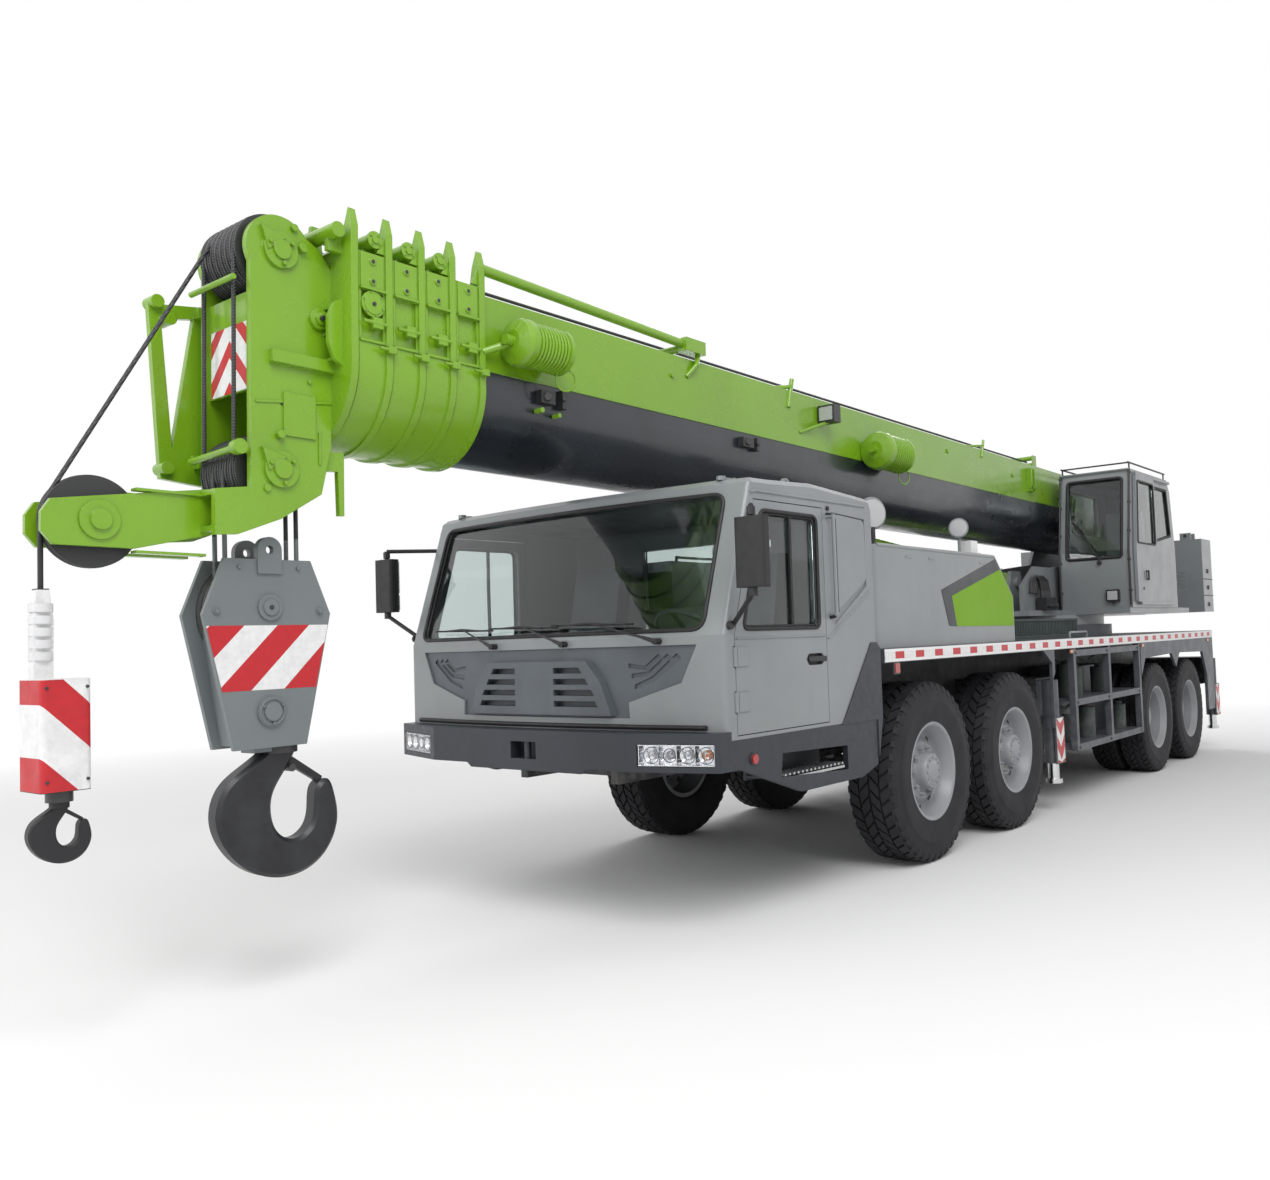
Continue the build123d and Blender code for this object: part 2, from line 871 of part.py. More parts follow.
def lamp_prism(side, inset, low, high):
    """The space of one headlamp behind the bumper's swept face."""
    y0 = lamp_inner_y + inset
    y1 = lamp_outer_y - inset
    outline = (
        (bumper_front(y0) + 1 - 20 * inset, side * y0),
        (bumper_front(y1) + 1 - 20 * inset, side * y1),
        (bumper_front(y1) - 60 + inset, side * y1),
        (bumper_front(y0) - 60 + inset, side * y0),
    )
    return plan_profile(outline, low + inset, high - inset)


def front_bumper():
    """Bumper and the skirts that carry on below the doors."""
    rear_x = bumper_x - 150
    front = [(bumper_front(y), y) for y in (half_width, bumper_bend_y)]
    back = [(rear_x, half_width), (rear_x, half_width - 175), (bumper_x + 50, bumper_bend_y)]
    left = list(reversed(back)) + front
    outline = left + [(x, -y) for x, y in reversed(left)]
    beam = plan_profile(outline, bumper_bottom, bumper_top - 50)
    upper = plan_profile(outline, bumper_top - 51, bumper_top)
    plan = cab_plan(-seat_gap, cab_rear_x)
    upper -= Pos(0, 0, bumper_top - 60) * extrude(plan, amount=100, dir=(0, 0, 1))
    beam += upper
    # the lower edge steps up away from the middle
    for side in (1, -1):
        beam -= front_profile(
            (
                (side * 480, bumper_bottom - 1),
                (side * 520, bumper_bottom + 28),
                (side * (half_width + 1), bumper_bottom + 28),
                (side * (half_width + 1), bumper_bottom - 1),
            ),
            rear_x - 1,
            bumper_nose_x + 1,
        )
    profile = (
        (cab_rear_x, cab_floor - seat_gap),
        (rear_x, cab_floor - seat_gap),
        (rear_x, bumper_bottom + 28),
        (bumper_x - 750, skirt_bottom),
        (cab_rear_x + 230, skirt_bottom),
        (cab_rear_x + 30, 800.0),
    )
    skirt = side_profile(profile, half_width - 40, half_width)
    opening = ((3020, 810), (3020, 960), (3750, 985), (3770, 850))
    skirt -= side_profile(opening, half_width - 41, half_width + 1)
    tray = side_profile(
        ((2980, 795), (3790, 835), (3790, 850), (2980, 810)), half_width - 260, half_width - 40
    )
    tray += block(2980, 3790, half_width - 260, half_width - 240, 820, 1030)
    skirt += tray
    # dark wedge between the cab and the front wheel
    mudguard = (
        (cab_rear_x - seat_gap, 1600.0),
        (cab_rear_x - 45, 1560.0),
        (cab_rear_x - 45, cab_floor - seat_gap),
        (cab_rear_x + 20, skirt_bottom + 100),
        (cab_rear_x + 20, cab_floor - seat_gap),
        (cab_rear_x - seat_gap, cab_floor - seat_gap),
    )
    wedge_outer = half_width + 8
    skirt += side_profile(mudguard, half_width - 40, wedge_outer)
    wedge = (
        (cab_rear_x - 45, 1092.0),
        (cab_rear_x + 470, 1092.0),
        (cab_rear_x + 70, 1600.0),
        (cab_rear_x - seat_gap, 1600.0),
        (cab_rear_x - 45, 1560.0),
    )
    skirt += side_profile(wedge, half_width + seat_gap, wedge_outer)
    beam += both_sides(skirt)
    for side in (1, -1):
        beam -= lamp_prism(side, 0, lamp_bottom, lamp_top)
    notch = bumper_nose_x - 90
    beam -= block(notch, bumper_nose_x + 1, -110, 110, bumper_bottom + 70, 1080)
    beam += post(notch + 50, 0, 22, bumper_bottom + 69, 1081)
    # arms that carry it on the frame
    for side in (1, -1):
        beam += block(
            frame_front_x + seat_gap,
            bumper_x + 60,
            side * 370,
            side * 430,
            bumper_bottom,
            cab_floor - 100,
        )
    save("front_bumper", beam)
    lamps = [lamp_prism(side, seat_gap, lamp_bottom, lamp_top) for side in (1, -1)]
    save("head_lamps", Compound(children=lamps))


def cab_interior():
    """Two seats, the dashboard and the steering wheel."""
    floor = cab_floor + cab_wall
    pieces = []
    for y in (700.0, -700.0):
        seat = block(3050, 3550, y - 250, y + 250, floor, floor + 380)
        seat += side_profile(
            ((3050, floor + 380), (3190, floor + 380), (3060, floor + 1050), (2940, floor + 1050)),
            y - 230,
            y + 230,
        )
        pieces.append(seat)
    dash = side_profile(
        (
            (bumper_x - 72, floor),
            (bumper_x - 72, cowl_z - 60),
            (bumper_x - 420, cowl_z - 80),
            (bumper_x - 470, cowl_z - 180),
            (bumper_x - 330, floor),
        ),
        -1200,
        1200,
    )
    column = bar((bumper_x - 400, 700, cowl_z - 170), (bumper_x - 560, 700, cowl_z + 10), 30)
    tilt = Location((bumper_x - 560, 700, cowl_z + 10), (0, -42, 0))
    wheel = tilt * Torus(215, 16)
    wheel += tilt * Cylinder(45, 24)
    wheel += tilt * Box(420, 34, 14)
    pieces.append(dash + column + wheel)
    save("cab_interior", Compound(children=pieces))


def cab_mirrors():
    """A tall mirror on two arms at each front post."""
    x = bumper_x - 5
    y = half_width + 225
    housing = block(x - 45, x + 45, y - 95, y + 95, 1925, 2300)
    housing = fillet(housing.edges().filter_by(Axis.Z), 30)
    arm = bar((x, y, 1900), (x, y, 2360), 16)
    arm += bar((door_front_x + 8, half_width + seat_gap, 1730), (x, y, 1900), 14)
    top_root = (roof_front_x + 1, half_width + seat_gap, 2360)
    arm += bar(top_root, (x, y, 2360), 14)
    arm -= block(0, bumper_x + 200, 0, half_width + seat_gap, 1600, 2500)
    save("cab_mirrors", both_sides(housing + arm))


def side_tanks():
    """Step frame, tanks and the battery tray between the axle pairs."""
    front = ladder_front_x
    rear = ladder_rear_x
    outer = half_width - 5
    rail = 60.0
    frame = Part()
    levels = (500.0, 920.0, 1380.0)
    for z in levels:
        frame += block(rear, front, outer - rail, outer, z, z + 60)
    for x in (front - 60, (front + rear) / 2 - 30, rear):
        frame += block(x, x + 60, outer - rail, outer, 500, deck_top - deck_plate - fascia_drop)
    for z in (560.0, 980.0):
        frame += block(rear + 60, front - 60, outer - 330, outer - rail, z - 20, z)
    shelf = block(rear + 60, front - 60, rail_outer_y, outer - rail, 500, 540)
    frame += shelf
    tank_left = block(rear + 80, (front + rear) / 2 - 40, 520, outer - 340, 540, 1250)
    tank_right = block((front + rear) / 2 + 60, front - 100, 520, outer - 340, 540, 1150)
    frame += tank_left + tank_right
    frame += block(rear + 100, front - 120, rail_outer_y, 520, 900, 960)
    save("side_tanks", both_sides(frame))


# ---------------------------------------------------------------- outriggers
def outriggers():
    beam_width = (box_width - 2 * box_wall - 3 * running_gap) / 2
    beam_low = box_bottom + box_wall + seat_gap
    beam_high = box_bottom + box_height - box_wall - running_gap
    for row, x in OUTRIGGERS:
        for side_name, side in SIDES:
            centre = x + side * (beam_width + running_gap) / 2
            x0 = centre - beam_width / 2
            x1 = centre + beam_width / 2
            outer = jack_y - jack_radius + 20
            inner = box_half_length - 60
            beam = block(x0, x1, -side * inner, side * outer, beam_low, beam_high)
            head = post(centre, side * jack_y, jack_radius, jack_bottom, beam_high)
            beam += head
            beam -= post(
                centre,
                side * jack_y,
                jack_rod_radius + shaft_gap,
                jack_bottom - 1,
                beam_high - 40,
            )
            beam += block(
                centre - guard_half,
                centre + guard_half,
                side * (jack_y + jack_radius - 12),
                side * (jack_y + jack_radius + 7),
                jack_bottom,
                box_bottom,
            )
            save(f"outrigger_beam_{row}_{side_name}", beam)
            rod = post(
                centre, side * jack_y, jack_rod_radius, float_bottom, beam_high - 60
            )
            pad = Pos(centre, side * jack_y, float_bottom) * Cylinder(
                float_radius / 2, float_height, align=(Align.CENTER, Align.CENTER, Align.MIN)
            )
            save(f"outrigger_jack_{row}_{side_name}", rod + pad)


# ---------------------------------------------------------------- superstructure
def turntable():
    base = plan_profile(
        (
            (turntable_front_x, -480),
            (turntable_front_x, 480),
            (op_cab_front_x + 40, 520),
            (op_cab_front_x + 40, op_cab_outer_y - 20),
            (op_cab_rear_x - 700, op_cab_outer_y - 20),
            (op_cab_rear_x - 700, 520),
            (turntable_rear_x, 480),
            (turntable_rear_x, -480),
            (op_cab_rear_x, -520),
            (op_cab_rear_x, -op_cab_outer_y + 20),
            (op_cab_front_x + 40, -op_cab_outer_y + 20),
            (op_cab_front_x + 40, -520),
        ),
        platform_bottom,
        platform_top,
    )
    base += post(slew_x, 0, ring_radius, ring_base_top + seat_gap, platform_bottom)
    y0 = boom_half_width + side_gap
    y1 = y0 + side_plate
    plates = side_profile(
        (
            (turntable_front_x + 0, platform_top),
            (turntable_front_x + 0, platform_top + 260),
            (luff_foot[0] + 180, luff_foot[1] + 160),
            (luff_foot[0] - 300, luff_foot[1] + 160),
            (-4700, 2480),
            (pivot_x + 330, pivot_z + 190),
            (pivot_x - 60, pivot_z + 240),
            (pivot_x - 330, pivot_z + 100),
            (-6250, 2560),
            (turntable_rear_x, 2480),
            (turntable_rear_x, platform_top),
        ),
        y0,
        y1,
    )
    base += both_sides(plates)
    # ties between the plates
    base += block(-3300, -3240, -y0, y0, platform_top, 2020)
    base += block(-5150, -5090, -y0, y0, platform_top, 2250)
    for side in (1, -1):
        lug = side_profile(
            (
                (luff_foot[0] - 260, platform_top),
                (luff_foot[0] - 130, luff_foot[1] + 130),
                (luff_foot[0] + 130, luff_foot[1] + 130),
                (luff_foot[0] + 260, platform_top),
            ),
            side * (eye_width / 2 + seat_gap),
            side * (eye_width / 2 + 40),
        )
        base += lug
    base += shaft(luff_foot[0], luff_foot[1], foot_pin_radius, -170, 170)
    base += shaft(pivot_x, pivot_z, foot_pin_radius + 10, -y0 - 1, y0 + 1)
    # hydraulic tank on the right
    tank = block(op_cab_front_x, op_cab_rear_x + 200, -520, -op_cab_outer_y + 40, platform_top, 2420)
    base += fillet(tank.edges().filter_by(Axis.Z), 60)
    save("turntable", base)


def winches():
    y0 = boom_half_width + side_gap
    drums = []
    for x, z in ((-5830.0, 2090.0), (-6330.0, 2190.0)):
        drum = shaft(x, z, drum_radius, -y0, y0)
        for side in (1, -1):
            drum += shaft(x, z, drum_flange_radius, side * (y0 - 70), side * (y0 - 40))
        drums.append(drum)
    save("hoist_winches", Compound(children=drums))


def counterweight():
    reach = slew_x - tail_x
    weight_front_x = turntable_rear_x - seat_gap
    weight = block(tail_x - 10, weight_front_x, -weight_half_width, weight_half_width, 1800, weight_top)
    weight &= Pos(slew_x, 0, 2300) * Cylinder(reach, 2000)
    weight -= block(weight_front_x - 250, weight_front_x + 1, -440, 440, 2300, weight_top + 1)
    weight -= side_profile(
        ((tail_x - 50, 2350), (tail_x - 50, weight_top + 50), (tail_x + 180, weight_top + 50)),
        -weight_half_width - 1,
        weight_half_width + 1,
    )
    save("counterweight", weight)


def op_outline(inset):
    face = make_face(
        Polyline(
            (op_cab_front_x, 0, op_cab_floor),
            (op_cab_front_x + 10, 0, op_cab_floor + 640),
            (op_cab_front_x - 150, 0, op_cab_top),
            (op_cab_rear_x + 120, 0, op_cab_top),
            (op_cab_rear_x, 0, op_cab_top - 140),
            (op_cab_rear_x - 120, 0, op_cab_floor + 700),
            (op_cab_rear_x - 120, 0, op_cab_floor),
            close=True,
        )
    )
    if inset:
        face = offset(face, amount=-inset, kind=Kind.INTERSECTION)
    return face


def op_door_face(inset):
    """The sliding door's outline; the doorway behind it is smaller all round."""
    face = make_face(
        Polyline(
            (op_cab_front_x - 100, 0, op_cab_floor + 60),
            (op_cab_front_x - 100, 0, op_cab_floor + 640),
            (op_cab_front_x - 210, 0, op_cab_top - 60),
            (op_cab_front_x - 900, 0, op_cab_top - 60),
            (op_cab_front_x - 900, 0, op_cab_floor + 60),
            close=True,
        )
    )
    return offset(face, amount=-inset, kind=Kind.INTERSECTION) if inset else face


def operator_cab():
    inner_y0 = op_cab_inner_y + op_cab_wall
    inner_y1 = op_cab_outer_y - op_cab_wall
    shell = slab(op_outline(0), op_cab_inner_y, op_cab_outer_y)
    shell -= slab(op_outline(op_cab_wall), inner_y0, inner_y1)
    front_low = op_cab_floor + 560
    front_high = op_cab_top - 90
    shell -= block(
        op_cab_front_x - 230,
        op_cab_front_x + 60,
        op_cab_inner_y + 90,
        op_cab_outer_y - 90,
        front_low,
        front_high,
    )
    shell -= slab(op_door_face(30), inner_y1 - 1, op_cab_outer_y + 1)
    # rails that carry the sliding door
    for z in (op_cab_floor + 60 - seat_gap - 30, op_cab_top - 60 + seat_gap):
        shell += block(
            op_cab_front_x - 215,
            op_cab_rear_x + 120,
            op_cab_outer_y,
            op_cab_outer_y + running_gap + op_door_thick,
            z,
            z + 30,
        )
    # fixed window behind the door, and the window that looks at the boom
    rear_window = (
        (op_cab_front_x - 960, op_cab_floor + 760),
        (op_cab_front_x - 960, op_cab_top - 120),
        (op_cab_rear_x + 130, op_cab_top - 120),
        (op_cab_rear_x + 20, op_cab_floor + 860),
    )
    shell -= side_profile(rear_window, inner_y1 - 1, op_cab_outer_y + 1)
    shell -= block(
        op_cab_front_x - 1300,
        op_cab_front_x - 300,
        op_cab_inner_y - 1,
        inner_y0 + 1,
        op_cab_floor + 900,
        op_cab_top - 150,
    )
    seat = block(-4350, -3900, 720, 1120, op_cab_floor + op_cab_wall, op_cab_floor + 480)
    seat += block(-4450, -4330, 720, 1120, op_cab_floor + 400, op_cab_floor + 1150)
    shell += seat
    save("operator_cab_shell", shell)

    foot = (op_cab_front_x + 10, op_cab_floor + 640)
    head = (op_cab_front_x - 150, op_cab_top)
    slope = (head[0] - foot[0]) / (head[1] - foot[1])

    def on_front(z, back):
        lean = slope * max(z - foot[1], 0.0)
        return (foot[0] + lean - back, z)

    low = front_low + seat_gap
    high = front_high - seat_gap
    outline = (
        on_front(low, 20),
        on_front(foot[1], 20),
        on_front(high, 20),
        on_front(high, 20 + pane),
        on_front(foot[1], 20 + pane),
        on_front(low, 20 + pane),
    )
    panes = [
        side_profile(
            outline, op_cab_inner_y + 90 + seat_gap, op_cab_outer_y - 90 - seat_gap
        )
    ]
    panes.append(
        slab(
            offset(
                make_face(Polyline(*[(x, 0, z) for x, z in rear_window], close=True)),
                amount=-seat_gap,
                kind=Kind.INTERSECTION,
            ),
            inner_y1 + 20,
            inner_y1 + 20 + pane,
        )
    )
    panes.append(
        block(
            op_cab_front_x - 1300 + seat_gap,
            op_cab_front_x - 300 - seat_gap,
            op_cab_inner_y + 20,
            op_cab_inner_y + 20 + pane,
            op_cab_floor + 900 + seat_gap,
            op_cab_top - 150 - seat_gap,
        )
    )
    save("operator_cab_glass", Compound(children=panes))

    door_y = op_cab_outer_y + running_gap
    door = slab(op_door_face(0), door_y, door_y + op_door_thick)
    window = make_face(
        Polyline(
            (op_cab_front_x - 200, 0, op_cab_floor + 720),
            (op_cab_front_x - 300, 0, op_cab_top - 130),
            (op_cab_front_x - 840, 0, op_cab_top - 130),
            (op_cab_front_x - 840, 0, op_cab_floor + 720),
            close=True,
        )
    )
    door -= slab(window, door_y - 1, door_y + op_door_thick + 1)
    glass = slab(
        offset(window, amount=-seat_gap, kind=Kind.INTERSECTION),
        door_y + 12,
        door_y + 12 + pane,
    )
    save("operator_cab_door", Compound(children=[door, glass]))


# ---------------------------------------------------------------- boom
boom_frame = Location((pivot_x, 0, pivot_z), (0, -boom_pitch, 0))


def section_size(number):
    """Half width and top of a boom section; number 0 is the base."""
    return boom_half_width - section_step * number, boom_top - section_step * number


def tube_face(half, top):
    """The boom's section: a flat-topped box on a half-round belly."""
    upper = Pos(0, (top + belly_centre) / 2) * Rectangle(2 * half, top - belly_centre)
    return upper + Pos(0, belly_centre) * Circle(half)


def tube(half, top, x0, x1):
    return extrude(Plane.YZ.offset(x0) * tube_face(half, top), amount=x1 - x0)


def collar(number, solid_front=False):
    """The end collar of a section: flange with two horns, then the wide band."""
    half, top = section_size(number)
    x0 = collar_first_x + collar_pitch * number
    x1 = x0 + collar_flange
    x2 = x1 + (0 if solid_front else collar_band)
    rim = boom_half_width + collar_rim
    high = boom_top + collar_rim
    shape = tube(rim, high, x0, x1)
    if not solid_front:
        shape += tube(rim - band_inset, high - band_inset, x1, x2)
        skin = rim - band_inset
        low_z, high_z = band_window
        for side in (1, -1):
            deep = side * (skin - band_window_depth)
            shape -= block(x1 + 12, x2 - 14, deep, side * (skin + 1), low_z, high_z)
            for z in band_holes:
                shape -= shaft((x1 + x2) / 2, z, 10, deep, side * (skin + 1))
    for side in (1, -1):
        horn = front_profile(
            (
                (side * rim, high - 60),
                (side * rim, high + horn_height * 0.55),
                (side * (rim - 25), high + horn_height),
                (side * (rim - 60), high + horn_height * 0.55),
                (side * (rim - 90), high - 60),
            ),
            x0,
            x1,
        )
        shape += horn
    if number:
        reach = rim - 20
        roller_x = x1 + 55
        roller_z = high + 62
        shape += shaft(roller_x, roller_z, 38, -reach, reach)
        for side in (1, -1):
            shape += block(
                x0, roller_x + 20, side * (reach - 90), side * (reach - 60), high - 30, roller_z
            )
    return shape


def boom_section(number):
    """One hollow section. Its nose narrows to a slide ring for the next section."""
    half, top = section_size(number)
    tail = -boom_tail if number == 0 else inner_tail_x + tail_step * number
    nose = collar_first_x + collar_pitch * number
    last = number == SECTIONS - 1
    if not last:
        nose += collar_flange + collar_band
    shape = tube(half, top, tail, nose)
    shape += collar(number, solid_front=last)
    if last:
        shape -= tube(half - boom_wall, top - boom_wall, tail - 1, nose - 20)
        return shape
    ring_x = nose - slide_ring
    shape -= tube(half - boom_wall, top - boom_wall, tail - 1, ring_x)
    next_half, next_top = section_size(number + 1)
    bore = tube_face(next_half + seat_gap, next_top + seat_gap)
    shape -= extrude(Plane.YZ.offset(ring_x - 1) * bore, amount=slide_ring + 2)
    return shape


def luff_lugs():
    """Cheeks under the base section for the luffing cylinder's rod eye."""
    local = boom_frame.inverse() * Pos(luff_eye[0], 0, luff_eye[1])
    x = local.position.X
    z = local.position.Z
    belly = belly_centre - boom_half_width
    cheek = side_profile(
        (
            (x - 420, belly + 25),
            (x - 90, z - 70),
            (x + 40, z - 95),
            (x + 110, z - 20),
            (x + 420, belly + 25),
        ),
        eye_width / 2 + seat_gap,
        eye_width / 2 + 35,
    )
    cheek -= shaft(x, z, 55, 0, 300)
    return both_sides(cheek)


def cable_reel(front_x, z, radius, length):
    """A cable drum with a domed front disc on the boom's left side."""
    y = boom_half_width + 0.95 * radius
    outline = (
        (front_x, 0),
        (front_x, 0.45 * radius),
        (front_x - 25, 0.92 * radius),
        (front_x - 55, radius),
        (front_x - 95, radius),
        (front_x - 110, 0.86 * radius),
        (front_x - length + 30, 0.86 * radius),
        (front_x - length + 25, 0.96 * radius),
        (front_x - length, 0.96 * radius),
        (front_x - length, 0),
    )
    drum = revolve(make_face(Polyline(*[(x, r, 0) for x, r in outline], close=True)), Axis.X)
    drum = Pos(0, y, z) * drum
    foot_x = front_x - length / 2
    drum += block(foot_x - 50, foot_x + 50, boom_half_width - 5, y, z - 45, z + 45)
    return drum


def make_boom():
    base = boom_section(0)
    for row in REELS:
        base += cable_reel(*row)
    for start, end, radius in BOOM_BARS:
        base += bar(start, end, radius)
    # head of the long bar, and the work lamp
    base += block(8570, 8780, 335, 425, 655, 745)
    base += block(6990, 7060, 385, 525, 420, 545)
    base += luff_lugs() - tube(boom_half_width - 1, boom_top - 1, 5000, 9000)
    boss = shaft(0, 0, 150, -boom_half_width - 8, boom_half_width + 8)
    room = boom_half_width - boom_wall - 20
    boss -= tube(room, boom_top - 5, -boom_tail - 1, inner_tail_x + 50)
    base += boss
    bore = Rot(90, 0, 0) * Cylinder(foot_pin_radius + 10 + shaft_gap, 2000)
    base -= bore
    save("boom_base", boom_frame * base)
    for number in (1, 2, 3):
        save(f"boom_section_{number + 1}", boom_frame * boom_section(number))


def head_plate_shape():
    x0 = collar_first_x + collar_pitch * (SECTIONS - 1) + collar_flange
    x1 = x0 + head_length
    shape = side_profile(
        (
            (x0, lower_pin[1] + 140),
            (x0 + 55, lower_pin[1] - 98),
            (lower_pin[0], lower_pin[1] - 235),
            (x1 + 60, lower_pin[1] - 320),
            (x1 + 170, lower_pin[1] - 330),
            (x1 + 170, lower_pin[1] - 120),
            (x1, lower_pin[1] - 95),
            (x1, upper_pin[1]),
            (upper_pin[0], upper_pin[1] + 170),
            (x0 + 60, upper_pin[1] + 60),
            (x0, upper_pin[1] - 20),
        ),
        head_half_width - head_plate,
        head_half_width,
    )
    shape += shaft(
        upper_pin[0], upper_pin[1], 170, head_half_width - head_plate, head_half_width
    )
    return shape


def sheave_pack(pin, radius, grooves, reach):
    """Rope sheaves side by side on their pin."""
    half = grooves * groove_pitch / 2
    land = (groove_pitch - groove_width) / 2
    outline = [(0, -reach), (sheave_pin_radius, -reach), (sheave_pin_radius, -half)]
    for number in range(grooves):
        y = number * groove_pitch - half
        deep = radius - groove_depth
        outline += [
            (radius, y),
            (radius, y + land),
            (deep, y + land + groove_slope),
            (deep, y + groove_pitch - land - groove_slope),
            (radius, y + groove_pitch - land),
        ]
    outline += [(radius, half), (sheave_pin_radius, half), (sheave_pin_radius, reach), (0, reach)]
    pack = revolve(make_face(Polyline(*outline, close=True)), Axis.Y)
    return Pos(pin[0], 0, pin[1]) * pack


def boom_head():
    """The last section with its sheave cheeks, front plate and the forward arm."""
    shape = boom_section(SECTIONS - 1)
    shape += both_sides(head_plate_shape())
    x0 = collar_first_x + collar_pitch * (SECTIONS - 1) + collar_flange
    x1 = x0 + head_length
    inner = head_half_width - head_plate
    shape += block(x1 - 45, x1 - 25, -inner, inner, -90, 380)
    # pin bosses with keepers, the lug bar and the pads on each cheek
    for side in (1, -1):
        face_y = side * (head_half_width - 1)
        for pin_x, pin_z in (upper_pin, lower_pin):
            shape += shaft(pin_x, pin_z, 88, face_y, side * (head_half_width + 18))
            shape += shaft(pin_x, pin_z, 46, face_y, side * (head_half_width + 30))
            shape += side_profile(
                ((pin_x - 20, pin_z + 60), (pin_x + 105, pin_z + 95), (pin_x + 70, pin_z - 15)),
                face_y,
                side * (head_half_width + 24),
            )
        shape += block(x0 - 30, x1 - 90, face_y, side * (head_half_width + 35), 40, 100)
        shape += block(x0 + 90, x0 + 260, face_y, side * (head_half_width + 12), -300, -90)
        ribs = side_profile(
            (
                (x0 - 30, 50),
                (x0 + 45, 95),
                (x0 + 75, 170),
                (x0 + 75, 300),
                (x0 + 45, 375),
                (x0 - 30, 420),
            ),
            side * (head_half_width + 75),
            side * (head_half_width + 100),
        )
        for z in (100.0, 235.0, 360.0):
            ribs += block(
                x0 - 30, x0 + 40, face_y, side * (head_half_width + 80), z - 8, z + 8
            )
        shape += ribs
    # lugs and keeper bar on top
    for y in (-120.0, 120.0):
        shape += side_profile(
            (
                (x0 - 30, upper_pin[1] - 20),
                (x0 + 60, upper_pin[1] - 20),
                (x0 + 40, upper_pin[1] + 215),
                (x0 - 10, upper_pin[1] + 215),
            ),
            y - 12,
            y + 12,
        )
    shape += block(x0 - 20, x0 + 60, -inner - 1, inner + 1, upper_pin[1] - 45, upper_pin[1] - 15)
    shape += shaft(x0 + 15, upper_pin[1] + 190, 14, -150, 150)
    # arm for the hoist limit weight
    shape += side_profile(
        (
            (x0 + 60, lower_pin[1] + 120),
            (x0 - 90, lower_pin[1] + 130),
            (x0 - 90, lower_pin[1] - 190),
            (x0 - 62, lower_pin[1] - 190),
            (x0 - 55, lower_pin[1] + 30),
            (x0 + 60, lower_pin[1] + 20),
        ),
        inner - 25,
        inner + 5,
    )
    # forward arm for the single-line sheave
    root = x1 + 90
    for side in (1, -1):
        shape += side_profile(
            (
                (root, lower_pin[1] - 100),
                (arm_pin[0] + 190, arm_pin[1] + 75),
                (arm_pin[0] + 225, arm_pin[1] + 20),
                (arm_pin[0] + 225, arm_pin[1] - 60),
                (arm_pin[0] + 180, arm_pin[1] - 115),
                (arm_pin[0] - 150, arm_pin[1] - 115),
                (root, lower_pin[1] - 310),
            ),
            side * arm_inner_y,
            side * (arm_inner_y + 25),
        )
    tip = x1 + 170
    for z in (lower_pin[1] - 310, lower_pin[1] - 145):
        shape += block(root, tip, -inner - 1, inner + 1, z, z + 25)
    # jib bracket on the right
    bracket = side_profile(
        (
            (x1 - 40, 400),
            (x1 + 230, 360),
            (x1 + 170, -480),
            (x1 - 40, -500),
        ),
        -head_half_width - 90,
        -head_half_width - 55,
    )
    bracket -= side_profile(
        ((x1 + 10, 330), (x1 + 170, 300), (x1 + 115, -330)),
        -head_half_width - 91,
        -head_half_width - 54,
    )
    for z in (330.0, -420.0):
        bracket += block(x1 - 40, x1 + 10, -head_half_width - 55, -head_half_width, z, z + 50)
    shape += bracket
    save("boom_head", boom_frame * shape)

    # pin, sheave radius, number of grooves, half length of the pin
    packs = (
        (upper_pin, head_sheave_radius, head_grooves, inner),
        (lower_pin, head_sheave_radius, head_grooves, inner),
        (arm_pin, arm_sheave_radius, 1, arm_inner_y),
    )
    sheaves = [boom_frame * sheave_pack(*row) for row in packs]
    save("head_sheaves", Compound(children=sheaves))


def luff_cylinder():
    dx = luff_eye[0] - luff_foot[0]
    dz = luff_eye[1] - luff_foot[1]
    length = hypot(dx, dz)
    along = Plane(
        (luff_foot[0], 0, luff_foot[1]), x_dir=(0, 1, 0), z_dir=(dx / length, 0, dz / length)
    )
    barrel_end = length - 420
    tube_start = 300.0
    barrel = Pos(0, 0, (barrel_end + tube_start) / 2) * Cylinder(
        barrel_radius, barrel_end - tube_start
    )
    barrel += Rot(0, 90, 0) * Cylinder(eye_radius, eye_width)
    barrel += Pos(0, 0, 160) * Box(eye_width, 1.8 * eye_radius, 320)
    barrel -= Rot(0, 90, 0) * Cylinder(foot_pin_radius + shaft_gap, eye_width + 10)
    bore_low = 350.0
    barrel -= Pos(0, 0, (barrel_end + bore_low) / 2 + 1) * Cylinder(
        rod_radius + shaft_gap, barrel_end - bore_low + 2
    )
    save("luff_barrel", along * barrel)
    rod_foot = bore_low + 30
    rod = Pos(0, 0, (length + rod_foot) / 2 - 30) * Cylinder(rod_radius, length - rod_foot - 60)
    rod += Pos(0, 0, length) * Rot(0, 90, 0) * Cylinder(eye_radius, eye_width)
    rod -= Pos(0, 0, length) * Rot(0, 90, 0) * Cylinder(55, eye_width + 10)
    save("luff_rod", along * rod)


